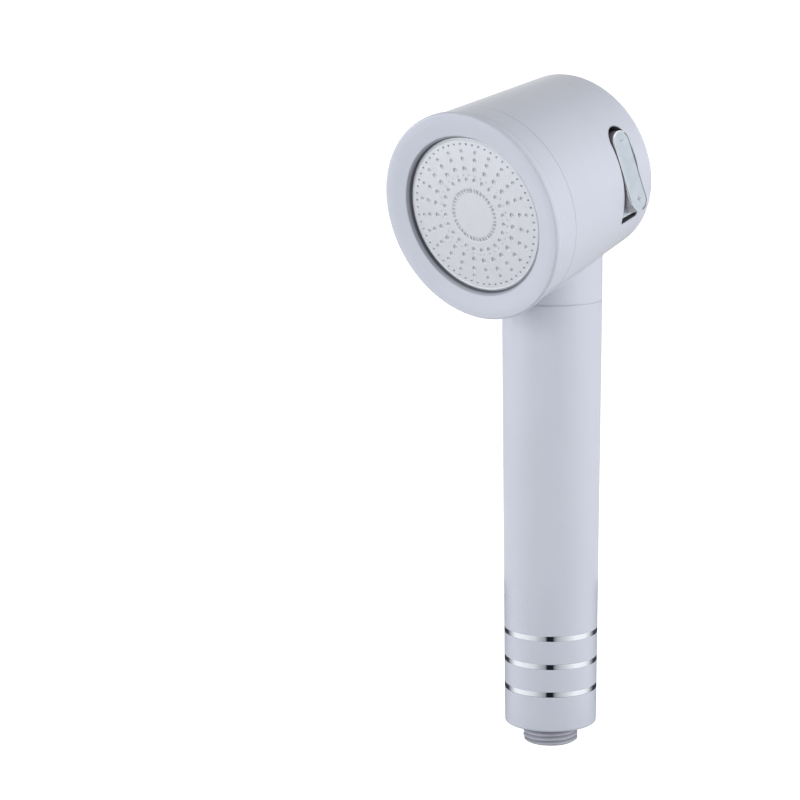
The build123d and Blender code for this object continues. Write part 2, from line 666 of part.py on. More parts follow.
with BuildPart() as rocker_paddle:
    with BuildSketch(PADDLE_VIEW.offset(-PADDLE_SKIRT)):
        SlotOverall(PADDLE_LEN, PADDLE_W, rotation=90)
    extrude(amount=PADDLE_FACE + PADDLE_SKIRT)
    chamfer(rocker_paddle.faces().sort_by(Axis((0, 0, 0), out_dir))[-1].edges(), PADDLE_EDGE)
    # hollow from below
    with BuildSketch(PADDLE_VIEW.offset(-PADDLE_SKIRT)):
        SlotOverall(PADDLE_LEN - 2 * PADDLE_WALL, PADDLE_W - 2 * PADDLE_WALL, rotation=90)
    extrude(amount=PADDLE_FACE + PADDLE_SKIRT - PADDLE_WALL, mode=Mode.SUBTRACT)
    # web that carries the arm
    with BuildSketch(PADDLE_VIEW):
        Rectangle(PADDLE_W - PADDLE_WALL, 2 * HUB_R)
    extrude(amount=PADDLE_FACE - PADDLE_WALL / 2)
    with BuildSketch(ACROSS.offset(RECESS_S - PADDLE_W / 2)):
        with Locations((PIN_X, PIN_V)):
            Circle(HUB_R)
    extrude(amount=PADDLE_W)
    with BuildSketch(PADDLE_VIEW.offset(-arm_len)):
        Rectangle(ARM_W, ARM_T)
    extrude(amount=arm_len)
    with BuildSketch(ACROSS.offset(RECESS_S - ARM_W / 2)):
        with Locations((valve_x, notch_v)):
            Circle(NOSE_R)
    extrude(amount=ARM_W)
    with BuildSketch(ACROSS.offset(RECESS_S - PADDLE_W / 2)):
        with Locations((PIN_X, PIN_V)):
            Circle(PIN_R + RUN)
    extrude(amount=PADDLE_W, mode=Mode.SUBTRACT)
save(rocker_paddle, "rocker_paddle")

# -------------------------------------------------------------------------- valve

with BuildPart() as valve_body:
    # socket on the water tube
    with BuildSketch(Plane.XY.offset(SOCKET_FOOT_Z)):
        Circle(CUP_R + SOCKET_WALL)
    extrude(amount=SOCKET_TOP_Z + SOCKET_ROOF_T - SOCKET_FOOT_Z)
    # riser beside the valve
    riser_top_v = port_v + FEED_R + FEED_WALL
    riser_foot_v = BORE_FLOOR_V - VALVE_FLOOR_T - FEED_R
    with BuildSketch(UPRIGHT.offset(riser_foot_v)):
        with Locations((feed_s, feed_x)):
            Circle(FEED_R + FEED_WALL)
    extrude(amount=riser_top_v - riser_foot_v)
    # housing of the spool
    with BuildSketch(UPRIGHT.offset(BORE_FLOOR_V - VALVE_FLOOR_T)):
        with Locations((RECESS_S, valve_x)):
            Circle(BORE_R + VALVE_WALL)
    extrude(amount=GLAND_TOP_V - BORE_FLOOR_V + VALVE_FLOOR_T)
    # outlet pipe to the chamber
    with BuildSketch(ACROSS.offset(RECESS_S)):
        with Locations((valve_x, port_v)):
            Circle(outlet_r)
    extrude(amount=chamber_back_s + CHAMBER_PLATE_T - RECESS_S)
    # waterways
    with BuildSketch(Plane.XY.offset(SOCKET_FOOT_Z)):
        Circle(CUP_R)
    extrude(amount=SOCKET_TOP_Z - SOCKET_FOOT_Z, mode=Mode.SUBTRACT)
    with BuildSketch(UPRIGHT.offset(riser_foot_v - FEED_R)):
        with Locations((feed_s, feed_x)):
            Circle(FEED_R)
    extrude(amount=riser_top_v - FEED_WALL - riser_foot_v + FEED_R, mode=Mode.SUBTRACT)
    with BuildSketch(UPRIGHT.offset(BORE_FLOOR_V)):
        with Locations((RECESS_S, valve_x)):
            Circle(BORE_R)
    extrude(amount=GLAND_TOP_V - BORE_FLOOR_V, mode=Mode.SUBTRACT)
    riser_point = head_point(feed_x, port_v, feed_s)
    bore_point = head_point(valve_x, port_v, RECESS_S)
    with BuildSketch(Plane(origin=riser_point, z_dir=bore_point - riser_point)):
        Circle(PORT_R)
    extrude(amount=(bore_point - riser_point).length, mode=Mode.SUBTRACT)
    with BuildSketch(ACROSS.offset(RECESS_S)):
        with Locations((valve_x, port_v)):
            Circle(PORT_R)
    extrude(amount=BORE_R + VALVE_WALL, mode=Mode.SUBTRACT)
    with BuildSketch(ACROSS.offset(RECESS_S + BORE_R + VALVE_WALL)):
        with Locations((valve_x, port_v)):
            Circle(OUTLET_BORE_R)
    extrude(amount=chamber_back_s + CHAMBER_PLATE_T - RECESS_S, mode=Mode.SUBTRACT)
save(valve_body, "valve_body")

with BuildPart() as valve_gland:
    with BuildSketch(UPRIGHT.offset(GLAND_TOP_V - GLAND_T)):
        with Locations((RECESS_S, valve_x)):
            Circle(BORE_R - SLIP)
            Circle(STEM_R + RUN, mode=Mode.SUBTRACT)
    extrude(amount=GLAND_T)
save(valve_gland, "valve_gland")

piston_r = BORE_R - RUN
piston_foot_v = port_v - PISTON_H / 2
seal_foot_v = piston_foot_v + PISTON_LAND
seal_top_v = piston_foot_v + PISTON_H - PISTON_LAND - PISTON_SEAL_H

with BuildPart() as valve_spool:
    with BuildSketch(UPRIGHT.offset(piston_foot_v)):
        with Locations((RECESS_S, valve_x)):
            Circle(piston_r)
    extrude(amount=PISTON_H)
    for groove_v in (seal_foot_v, seal_top_v):
        with BuildSketch(UPRIGHT.offset(groove_v)):
            with Locations((RECESS_S, valve_x)):
                Circle(piston_r)
                Circle(piston_r - PISTON_SEAL_DEPTH, mode=Mode.SUBTRACT)
        extrude(amount=PISTON_SEAL_H, mode=Mode.SUBTRACT)
    with BuildSketch(UPRIGHT.offset(port_v)):
        with Locations((RECESS_S, valve_x)):
            Circle(STEM_R)
    extrude(amount=SPOOL_LEN)
    notch_half = NOSE_R + NOTCH_PLAY
    with BuildSketch(UPRIGHT.offset(notch_v - notch_half - NOTCH_WALL)):
        with Locations((RECESS_S, valve_x)):
            Circle(HEAD_R)
    extrude(amount=2 * (notch_half + NOTCH_WALL))
    with BuildSketch(UPRIGHT.offset(notch_v - notch_half)):
        with Locations((RECESS_S, valve_x + NOTCH_FLOOR_T)):
            Rectangle(2 * HEAD_R, 2 * HEAD_R)
    extrude(amount=2 * notch_half, mode=Mode.SUBTRACT)
save(valve_spool, "valve_spool")


def piston_seal(label, foot_v):
    """Square ring in one of the piston's grooves."""
    with BuildPart() as seal:
        with BuildSketch(UPRIGHT.offset(foot_v + FACE_GAP)):
            with Locations((RECESS_S, valve_x)):
                Circle(BORE_R - SEAL_RUN)
                Circle(piston_r - PISTON_SEAL_DEPTH, mode=Mode.SUBTRACT)
        extrude(amount=PISTON_SEAL_H - 2 * FACE_GAP)
    save(seal, label)


piston_seal("spool_seal_lower", seal_foot_v)
piston_seal("spool_seal_upper", seal_top_v)
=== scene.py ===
# %% [markdown]
# # A handheld shower head with a pause rocker and a silicone brush
#
# The solid model arrives as a frame of ready nodes, one for each real piece, in metres.
# This file dresses them: it makes the pieces whose look needs more than the solid has,
# and gives every surface a finish built from shader nodes.

# %% Load the frame
import json
from math import cos, pi, radians, sin

import bmesh
import bpy
import numpy as np
from mathutils import Matrix


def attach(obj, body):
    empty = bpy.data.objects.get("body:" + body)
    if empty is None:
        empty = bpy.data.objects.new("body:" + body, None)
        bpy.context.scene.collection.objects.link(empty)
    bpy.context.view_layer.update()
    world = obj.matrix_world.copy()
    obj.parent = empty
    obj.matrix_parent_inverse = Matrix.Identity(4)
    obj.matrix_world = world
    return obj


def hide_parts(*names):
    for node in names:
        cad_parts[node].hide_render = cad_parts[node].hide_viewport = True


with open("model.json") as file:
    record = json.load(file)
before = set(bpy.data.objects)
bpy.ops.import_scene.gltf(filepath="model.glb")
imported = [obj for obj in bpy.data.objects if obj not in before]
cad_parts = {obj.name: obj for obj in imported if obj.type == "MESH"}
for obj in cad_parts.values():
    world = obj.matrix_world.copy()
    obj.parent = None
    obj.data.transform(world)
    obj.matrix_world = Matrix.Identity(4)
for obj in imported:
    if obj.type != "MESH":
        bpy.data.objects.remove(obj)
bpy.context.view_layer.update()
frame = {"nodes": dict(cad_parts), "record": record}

MM = 0.001

# %% [markdown]
# The head is tilted against the handle, so its pieces are drawn in the head's own
# directions: `SIDE` to the rocker, `UP` across the drum and `FACE` along the drum's axis,
# towards the spray plate. The joints of the frame already hold these directions.

# %% Directions and centre of the head
JOINTS = {joint["name"]: joint for joint in frame["record"]["behaviour"]["joints"]}
SIDE = np.array([1.0, 0.0, 0.0])
FACE = np.array(JOINTS["collar_turn"]["axis"])
UP = np.array(JOINTS["spool_slide"]["axis"])
Z_AXIS = np.array([0.0, 0.0, 1.0])
ORIGIN = np.zeros(3)
SEAM_S, FRONT_S, REAR_S = 28.2, 41.5, -26.1
FRONT_R, REAR_R = 39.2, 34.5
HEAD_CENTRE = np.array(JOINTS["collar_turn"]["pos_m"]) / MM - SEAM_S * FACE
print("centre of the drum, mm", HEAD_CENTRE.round(2))
print("tilt of the head, degrees", np.degrees(np.arcsin(-FACE[2])).round(2))


def drum_radius(s):
    """Outer radius of the tapered drum at the axial place s: a line between its two ends."""
    return REAR_R + (FRONT_R - REAR_R) * (s - REAR_S) / (FRONT_S - REAR_S)


def head_place(points):
    """Head coordinates (side, up, along the axis) to the object's own frame."""
    return HEAD_CENTRE + points[..., :1] * SIDE + points[..., 1:2] * UP + points[..., 2:] * FACE


# %% [markdown]
# Most pieces here are turned parts. A turned part is a profile, given as radius and
# height, carried round an axis. The corners of a real moulding are never quite sharp, so
# `rounded` puts a small arc in each corner of the profile first. Smooth shading would
# bend the light on a long flat run next to such an arc, so `held` pins each run close to
# its ends.

# %% Profiles
def rounded(corners, steps=5):
    """Polyline through corners (radius, height, rounding), each corner an arc.

    The arc starts and ends at the rounding's length from the corner, and its points are
    a blend of the two ends and the corner with weights (1-t)^2, t^2 and 2t(1-t).
    """
    points = np.array([corner[:2] for corner in corners], float)
    cuts = [corner[2] if len(corner) > 2 else 0.0 for corner in corners]
    before = np.roll(points, 1, axis=0) - points
    after = np.roll(points, -1, axis=0) - points
    before /= np.linalg.norm(before, axis=1)[:, None]
    after /= np.linalg.norm(after, axis=1)[:, None]
    t = np.linspace(0.0, 1.0, steps)[:, None]
    line = []
    for place, cut, back, ahead in zip(points, cuts, before, after):
        if cut:
            start, end = place + back * cut, place + ahead * cut
            line.append((1 - t) ** 2 * start + 2 * t * (1 - t) * place + t ** 2 * end)
        else:
            line.append(place[None, :])
    return np.vstack(line)


def held(line, near=0.2):
    """Adds a point close to each end of every long run of a closed line."""
    ahead = np.roll(line, -1, axis=0) - line
    length = np.linalg.norm(ahead, axis=1)[:, None]
    step = ahead * np.minimum(near / length, 0.5)
    rows = np.stack([line, line + step, line + ahead - step], 1).reshape(-1, 2)
    long_run = np.repeat(length[:, 0] > 4 * near, 3)
    long_run[::3] = True
    return rows[long_run]


# %% Turned surfaces
def full_turn(steps):
    """Angles of a full turn in equal steps from zero."""
    return np.arange(steps) * 2 * pi / steps


def unit_circle(angle):
    """Points (cos a, sin a)."""
    return np.stack([np.cos(angle), np.sin(angle)], -1)


def polar_grid(radius, angle, height):
    """Points (radius cos a, radius sin a, height); the three are spread to one shape."""
    x, y = radius * np.cos(angle), radius * np.sin(angle)
    return np.stack([x, y, np.broadcast_to(height, x.shape)], -1)


def grid_quads(rows, columns, close_rows=False):
    """Quads of a grid of points stored row by row, closed round its columns."""
    row, column = np.arange(rows if close_rows else rows - 1), np.arange(columns)
    i, j = np.meshgrid(row, column, indexing="ij")
    i2, j2 = (i + 1) % rows, (j + 1) % columns
    quads = np.stack([i * columns + j, i * columns + j2, i2 * columns + j2, i2 * columns + j], -1)
    return quads.reshape(-1, 4)


def repeated_quads(copies, rows, columns):
    """Quads of equal grids whose points are stored one grid after another."""
    starts = np.arange(copies)[:, None, None] * rows * columns
    return (grid_quads(rows, columns)[None] + starts).reshape(-1, 4)


def joined(blocks):
    """One list of points and one of faces from several (points, faces) blocks."""
    verts, faces, used = [], [], 0
    for points, block in blocks:
        verts.append(points)
        faces += [[index + used for index in face] for face in block]
        used += len(points)
    return np.vstack(verts), faces


def turned(profile, centre, axis, side, segments=144):
    """Closed surface P(i, a) = centre + height_i axis + radius_i (side cos a + out sin a)."""
    profile = held(profile)
    out = np.cross(axis, side)
    angle = full_turn(segments)
    wheel = np.cos(angle)[:, None] * side + np.sin(angle)[:, None] * out
    radius, height = profile[:, 0], profile[:, 1]
    grid = centre + height[:, None, None] * axis + radius[:, None, None] * wheel[None]
    return grid.reshape(-1, 3), grid_quads(len(profile), segments, close_rows=True)


# %% From surfaces to pieces
def placed(name, data):
    """Object of that name with the data, linked into the scene."""
    thing = bpy.data.objects.new(name, data)
    bpy.context.scene.collection.objects.link(thing)
    return thing


def smooth_object(name, mesh):
    """Object of a mesh whose faces are all shaded smooth."""
    mesh.polygons.foreach_set("use_smooth", np.ones(len(mesh.polygons), bool))
    return placed(name, mesh)


def new_piece(name, verts, faces, sharp=35.0):
    """Puts a surface (millimetres) into a mesh object, merged, smooth and facing outwards."""
    mesh = bpy.data.meshes.new(name)
    mesh.from_pydata((np.asarray(verts) * MM).tolist(), [], [list(face) for face in faces])
    work = bmesh.new()
    work.from_mesh(mesh)
    bmesh.ops.remove_doubles(work, verts=work.verts, dist=2e-6)
    bmesh.ops.dissolve_degenerate(work, edges=work.edges, dist=1e-6)
    bmesh.ops.recalc_face_normals(work, faces=work.faces)
    work.to_mesh(mesh)
    work.free()
    piece = smooth_object(name, mesh)
    mesh.set_sharp_from_angle(angle=radians(sharp))
    print(name, len(mesh.vertices), "points", len(mesh.polygons), "faces")
    return piece


def seat(piece, material, body, slot, *nodes):
    """Gives the piece its finish and its body, and hides the nodes it stands for; the slot is not
    used.
    """
    piece.data.materials.append(material)
    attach(piece, body)
    if nodes:
        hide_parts(*nodes)


def vectors_of(items, title):
    """One vector property of every vertex or face, as rows."""
    flat = np.empty(len(items) * 3, np.float32)
    items.foreach_get(title, flat)
    return flat.reshape(-1, 3)


def mesh_points(mesh):
    """Places of a mesh's vertices, in millimetres."""
    return vectors_of(mesh.vertices, "co").astype(float) / MM


def face_places(mesh):
    """Middle (millimetres) and normal of every face."""
    return vectors_of(mesh.polygons, "center") / MM, vectors_of(mesh.polygons, "normal")


def share_layer(mesh, name, value):
    """Stores one number for each point of the mesh under a name that a finish can read."""
    layer = mesh.attributes.new(name, "FLOAT", "POINT")
    layer.data.foreach_set("value", np.asarray(value, np.float32))


# %% [markdown]
# ## Finishes
#
# Every finish is a Principled shader with its colour, roughness and normal driven by
# nodes. Effects that several finishes share are node groups with named inputs and
# outputs. The first is the fine mottling of a moulded or ground surface, with the small
# bump that goes with it.

# %% Helpers for shader nodes
def group(name, inputs, outputs):
    """Empty shader node group with named sockets; returns the tree and its two ends."""
    tree = bpy.data.node_groups.new(name, "ShaderNodeTree")
    for title, kind, value in inputs:
        socket = tree.interface.new_socket(title, in_out="INPUT", socket_type=kind)
        socket.default_value = value
    for title, kind in outputs:
        tree.interface.new_socket(title, in_out="OUTPUT", socket_type=kind)
    return tree, tree.nodes.new("NodeGroupInput"), tree.nodes.new("NodeGroupOutput")


def wire(tree, node, sockets):
    """Feeds sockets of a node, by title: an output is linked, a plain value is set."""
    for title, value in sockets.items():
        if isinstance(value, bpy.types.NodeSocket):
            tree.links.new(value, node.inputs[title])
        elif value is not None:
            node.inputs[title].default_value = value


def add_node(tree, kind, sockets=None, **settings):
    """New shader node with its settings and its sockets."""
    node = tree.nodes.new("ShaderNode" + kind)
    for title, value in settings.items():
        setattr(node, title, value)
    wire(tree, node, sockets or {})
    return node


def math_node(tree, operation, first, second=None):
    """Math node; each input is a socket or a number. Returns its output."""
    return add_node(tree, "Math", {0: first, 1: second}, operation=operation).outputs[0]


def ramp(tree, value, low, high, to_low=0.0, to_high=1.0):
    """Straight ramp of a value from low..high to to_low..to_high, held at its ends."""
    ends = {"From Min": low, "From Max": high, "To Min": to_low, "To Max": to_high}
    return add_node(tree, "MapRange", {"Value": value, **ends}).outputs[0]


def mix_colour(tree, factor, *colours):
    """Blend of two colours, each a socket or three numbers."""
    first, second = (colour if isinstance(colour, bpy.types.NodeSocket) else (*colour, 1.0)
                     for colour in colours)
    node = add_node(tree, "Mix", {"Factor": factor, "A": first, "B": second}, data_type="RGBA")
    return node.outputs["Result"]


def attribute_of(tree, name):
    """Output with the number that the mesh stores under the name."""
    return add_node(tree, "Attribute", attribute_name=name).outputs["Fac"]


def new_material(name):
    """Material of that name, its node tree and its shader."""
    material = bpy.data.materials.new(name)
    material.use_nodes = True
    return material, material.node_tree, material.node_tree.nodes["Principled BSDF"]


# %% Group: mottle of a moulded or ground surface
def build_mottle():
    """Slow clouds and fine speckle, each a noise; mask = their mean, normal = its bump."""
    tree, start, end = group(
        "moulded mottle",
        [("Vector", "NodeSocketVector", (0, 0, 0)), ("Cloud Scale", "NodeSocketFloat", 60.0),
         ("Speckle Scale", "NodeSocketFloat", 2500.0), ("Bump", "NodeSocketFloat", 0.1),
         ("Depth", "NodeSocketFloat", 0.00002)],
        [("Mask", "NodeSocketFloat"), ("Normal", "NodeSocketVector")])
    given = start.outputs
    noises = [add_node(tree, "TexNoise", {"Vector": given["Vector"], "Scale": given[scale],
                                          "Detail": detail}).outputs[0]
              for scale, detail in (("Cloud Scale", 3.0), ("Speckle Scale", 2.0))]
    mask = math_node(tree, "MULTIPLY", math_node(tree, "ADD", *noises), 0.5)
    bump = add_node(tree, "Bump", {"Height": mask, "Strength": given["Bump"],
                                   "Distance": given["Depth"]})
    wire(tree, end, {"Mask": mask, "Normal": bump.outputs[0]})
    return tree


MOTTLE = build_mottle()


# %% One maker for all finishes
MASK_RANGE = (0.3, 0.7)  # where nearly all of the mottle's mask lies


def finish(name, low, high, rough, metallic=0.0, cloud=60.0, speckle=2500.0, bump=0.1,
           depth=0.00002, over=None, **plain):
    """Material with the mottle: its colour runs from low to high, its roughness over rough.

    `over` is a pair (attribute, colour): where that attribute of the mesh is 1, the
    colour takes over, as in engraved marks and shaded hollows. `plain` sets further
    sockets of the shader to one value all over.
    """
    material, tree, shader = new_material(name)
    place = add_node(tree, "TexCoord").outputs["Object"]
    mottle = add_node(tree, "Group", {"Vector": place, "Cloud Scale": cloud, "Bump": bump,
                                      "Speckle Scale": speckle, "Depth": depth},
                      node_tree=MOTTLE).outputs
    colour = mix_colour(tree, ramp(tree, mottle["Mask"], *MASK_RANGE), low, high)
    if over:
        colour = mix_colour(tree, attribute_of(tree, over[0]), colour, over[1])
    wire(tree, shader, {"Base Color": colour, "Normal": mottle["Normal"], "Metallic": metallic,
                        "Roughness": ramp(tree, mottle["Mask"], *MASK_RANGE, *rough)})
    wire(tree, shader, {title.replace("_", " "): value for title, value in plain.items()})
    return material


# %% The finishes
SHELL_LOW, SHELL_HIGH, SHELL_ROUGH = (0.585, 0.615, 0.705), (0.625, 0.655, 0.745), (0.26, 0.34)
SHELL_LOOK = {"cloud": 25.0, "bump": 0.05, "Coat_Weight": 0.12, "Coat_Roughness": 0.12,
              "Specular_IOR_Level": 0.35}
shell_plastic = finish("pearl_white_plastic", SHELL_LOW, SHELL_HIGH, SHELL_ROUGH, **SHELL_LOOK)
# the over colour is painted shade in the roots of the thread
nipple_plastic = finish("thread_plastic", (0.74, 0.75, 0.82), (0.82, 0.83, 0.90), (0.14, 0.24),
                        metallic=0.45, bump=0.12, over=("painted_root_shade", (0.47, 0.48, 0.55)))
chrome = finish("chrome_plate", (0.86, 0.885, 0.93), (0.91, 0.93, 0.96), (0.03, 0.07),
                metallic=1.0, bump=0.01)
satin_silver = finish("satin_silver", (0.46, 0.52, 0.58), (0.59, 0.65, 0.71), (0.34, 0.48),
                      metallic=0.2, cloud=260.0, speckle=3200.0, bump=0.35, depth=0.00003)
# painted shade: the dark line on the far side of the rocker's edge
dark_edge_painted_shade = finish("dark_edge_painted_shade", (0.16, 0.17, 0.19), (0.22, 0.23, 0.25), (0.12, 0.2),
                    metallic=0.9, bump=0.05)
rocker_wall = finish("rocker_wall", (0.44, 0.44, 0.48), (0.52, 0.52, 0.56), (0.22, 0.32),
                     metallic=0.4, bump=0.1)
# dark plastic of hidden parts; on the tray's upstand it is painted shade of the gap round the
# opening
dark_plastic_and_gap_shade = finish("dark_plastic_and_gap_shade", (0.13, 0.13, 0.15), (0.17, 0.17, 0.19), (0.30, 0.42), bump=0.2)
inner_plastic = finish("inner_plastic", (0.70, 0.71, 0.73), (0.76, 0.77, 0.78), (0.45, 0.6),
                       bump=0.2)
seal_rubber = finish("seal_rubber", (0.02, 0.02, 0.022), (0.035, 0.035, 0.04), (0.55, 0.7),
                     bump=0.3)
# the over colour is painted shade on the wall of the opening, deepest by the plate
collar_plastic = finish("collar_plastic", SHELL_LOW, SHELL_HIGH, SHELL_ROUGH,
                        over=("painted_lip_shade", (0.085, 0.09, 0.115)), **SHELL_LOOK)
pin_steel = finish("pin_steel", (0.55, 0.56, 0.57), (0.66, 0.66, 0.67), (0.18, 0.3), metallic=1.0)
silicone = finish("pink_silicone", (0.93, 0.54, 0.555), (0.98, 0.62, 0.63), (0.38, 0.5),
                  cloud=120.0, bump=0.12, Subsurface_Weight=0.3, Subsurface_Scale=0.0015)
tray_grey = finish("tray_grey", (0.27, 0.275, 0.30), (0.33, 0.335, 0.36), (0.28, 0.4), bump=0.2)

FINISH_OF_SLOT = {"shell": shell_plastic, "nipple": nipple_plastic, "chrome": chrome,
                  "rocker": satin_silver, "steel": pin_steel, "silicone": silicone,
                  "seal": seal_rubber, "inner_plastic": inner_plastic}
for part in frame["record"]["subparts"]:
    node = frame["nodes"][part["node"]]
    node.data.materials.clear()
    node.data.materials.append(FINISH_OF_SLOT.get(part["material_slot"], dark_plastic_and_gap_shade))
frame["nodes"]["rocker_tray"].data.materials[0] = tray_grey


# %% [markdown]
# ## Drum, neck and handle
#
# The drum and its neck are one moulding. Its solid is already right, so the visible piece
# is a merged copy. Its loose triangles are long and thin, and plain smooth shading would
# show them. The drum's skin is a cone, a straight neck and a rounded rear rim, whose
# normals follow from a formula, so the copy gets exact normals there.

# %% Drum and neck
NECK_R, REAR_EDGE_R, NECK_FOOT_Z = 18.95, 3.2, 172.8
FILLET_LOW_Z, FILLET_HIGH_Z = 174, 206  # heights between which the neck runs into the drum


def merged_copy(node, name):
    """Merged, smooth-shaded copy of a solid node."""
    work = bmesh.new()
    work.from_mesh(frame["nodes"][node].data)
    bmesh.ops.remove_doubles(work, verts=work.verts, dist=1e-6)
    mesh = bpy.data.meshes.new(name)
    work.to_mesh(mesh)
    work.free()
    print(name, len(mesh.polygons), "faces from", node)
    return smooth_object(name, mesh)


def unit_rows(rows):
    """Each row scaled to length 1, and the lengths."""
    length = np.linalg.norm(rows, axis=1)
    return rows / np.maximum(length, 1e-6)[:, None], length


def skin_normals(points):
    """Exact normals of the drum's skin at points, which of them lie on which part of it,
    and which lie on its outside at all.

    Cone: (radial - slope * FACE), scaled to 1. Neck: (x, y, 0) / radius. Rear rounding:
    from the arc's middle to the point, (r - r0) radial + (s - s0) FACE, scaled to 1.
    """
    place = points - HEAD_CENTRE
    s = place @ FACE
    radial, r = unit_rows(place - s[:, None] * FACE)
    slope = (FRONT_R - REAR_R) / (FRONT_S - REAR_S)
    cone = (radial - slope * FACE) / np.hypot(1.0, slope)
    neck, flat_r = unit_rows(points * (1.0, 1.0, 0.0))
    s0 = REAR_S + REAR_EDGE_R
    r0 = drum_radius(s0) - REAR_EDGE_R
    rim, reach = unit_rows((r - r0)[:, None] * radial + (s - s0)[:, None] * FACE)
    # the small numbers here are tolerances, in millimetres
    on_cone = (np.abs(r - drum_radius(s)) < 0.03) & (s > s0 - 0.05)
    on_neck = (np.abs(flat_r - NECK_R) < 0.03) & (points[:, 2] > NECK_FOOT_Z - 0.1)
    on_rim = (np.abs(reach - REAR_EDGE_R) < 0.04) & (s < s0 + 0.05) & (r > r0 - 0.05)
    parts = np.stack([on_cone, on_neck, on_rim])
    outside = (r > drum_radius(s) - 0.04) & (flat_r > NECK_R - 0.04)
    return np.select(list(parts[..., None]), (cone, neck, rim), 0.0), parts, outside


drum = merged_copy("head_shell", "drum_and_neck")
drum_mesh = drum.data
drum_mesh.set_sharp_from_angle(angle=radians(30))
points = mesh_points(drum_mesh)
exact, parts, outside = skin_normals(points)
loop_point = np.empty(len(drum_mesh.loops), np.int32)
drum_mesh.loops.foreach_get("vertex_index", loop_point)
corners = loop_point.reshape(-1, 3)
middle, normal = face_places(drum_mesh)
# a face takes the exact normals where all its corners lie on one part and it faces their
# way, which is a cosine above 0.85
agrees = np.einsum("fci,fi->fc", exact[corners], normal).min(axis=1) > 0.85
skin = agrees & parts[:, corners].all(2).any(0)
# the fillet's faces are the other outer ones at its height that don't lie level
fillet = ~skin & outside[corners].all(1) & (np.abs(normal[:, 2]) < 0.995)
fillet &= (middle[:, 2] > FILLET_LOW_Z) & (middle[:, 2] < FILLET_HIGH_Z)
blend = np.zeros_like(points)
np.add.at(blend, corners[fillet].ravel(), np.repeat(normal[fillet], 3, axis=0))
soft = np.where((parts[0] | parts[1])[:, None], exact, unit_rows(blend)[0])
loop_normals = np.zeros((len(corners), 3, 3))
loop_normals[skin] = exact[corners[skin]]
loop_normals[fillet] = soft[corners[fillet]]
drum_mesh.normals_split_custom_set(loop_normals.reshape(-1, 3).tolist())
seat(drum, shell_plastic, "handle", "shell", "head_shell")
print("drum: exact faces", int(skin.sum()), "fillet faces", int(fillet.sum()))

# %% [markdown]
# The handle is a stack of turned pieces: a moulded foot, three chrome rings with plain
# spacers between them, and the long tube. Each has a tiny rounding at its outer edges, and
# two such edges side by side make a fine line. The joint with the neck is a groove.

# %% Handle tube, rings and foot
HANDLE_BOTTOM_Z, HANDLE_TOP_Z = 7.7, 172.8
HANDLE_BOTTOM_R, HANDLE_TOP_R = 17.6, 18.95
SLEEVE_BORE_R, RING_BORE_R, FOOT_BORE_R = 15.9, 15.65, 10.6
BAND_Z, BAND_HALF = (22.5, 33.4, 44.5), 1.05
EDGE, GROOVE_DEPTH = 0.14, 0.6


def handle_radius(z):
    """Radius of the tapered handle: a straight line from its foot to its top."""
    share = (z - HANDLE_BOTTOM_Z) / (HANDLE_TOP_Z - HANDLE_BOTTOM_Z)
    return HANDLE_BOTTOM_R + (HANDLE_TOP_R - HANDLE_BOTTOM_R) * share


def handle_band(name, node, z_low, z_high, bore, low_round=EDGE, high_round=EDGE, joint=0.0,
                material=shell_plastic, slot="shell"):
    """Turned ring of the handle between two heights, with rounded outer edges.

    A joint leaves a groove of that width below the upper end, as two parts show where
    they meet.
    """
    top, groove_r = z_high - joint, handle_radius(z_high) - GROOVE_DEPTH
    groove = [(groove_r, top), (groove_r, z_high)] if joint else []
    profile = rounded([(bore, z_low), (handle_radius(z_low), z_low, low_round),
                       (handle_radius(top), top, high_round)] + groove + [(bore, z_high)])
    piece = new_piece(name, *turned(profile, ORIGIN, Z_AXIS, SIDE, segments=192))
    seat(piece, material, "handle", slot, node)


handle_band("handle_tube", "handle_sleeve", BAND_Z[2] + BAND_HALF, HANDLE_TOP_Z, SLEEVE_BORE_R,
            high_round=0.16, joint=0.36)
handle_band("handle_foot", "end_cap", HANDLE_BOTTOM_Z, BAND_Z[0] - BAND_HALF, FOOT_BORE_R,
            low_round=1.0)
for level, z in zip(("lower", "middle", "upper"), BAND_Z):
    handle_band(f"chrome_band_{level}", f"chrome_ring_{level}", z - BAND_HALF, z + BAND_HALF,
                RING_BORE_R, material=chrome, slot="chrome")
for level, low, high in zip(("lower", "upper"), BAND_Z, BAND_Z[1:]):
    handle_band(f"spacer_band_{level}", f"spacer_ring_{level}", low + BAND_HALF, high - BAND_HALF,
                RING_BORE_R)


# %% [markdown]
# ## Threaded inlet
#
# The nipple carries a G 1/2 pipe thread: 14 turns to the inch, so a pitch of 1.814 mm.
# The surface is a cylinder whose radius falls and rises with the phase of the helix. The
# thread starts in a cone at the tip and fades out under a thin shoulder below the handle.
# An attribute of the mesh holds how deep a point lies in the thread, and the finish paints shade
# into the roots with it: the deeper, the darker.

# %% Thread of the nipple
THREAD_R, THREAD_PITCH, THREAD_DEPTH = 10.4775, 1.814, 1.162
THREAD_LEN, UNDERCUT_R, SHOULDER_R, NIPPLE_BORE_R = 7.4, 10.2, 11.7, 7.0
SHOULDER_TOP, THREADED_TOP = 7.66, 10.9  # heights where the shoulder and this piece end
WAVE_SLOPE, WAVE_FLAT = 2.6, 0.25  # steepness of the thread's flanks, flat part of its crest
TIP_R, TIP_SLOPE, RUN_OUT = THREAD_R - 1.0, 1.3, 0.6
FLANGE_LOW, FLANGE_TOP, CUP_TOP = 11.0, 13.5, 25.5
THROAT_R, CUP_BORE_R, CUP_R, FLANGE_R = 6.2, 10.05, 12.25, 15.4


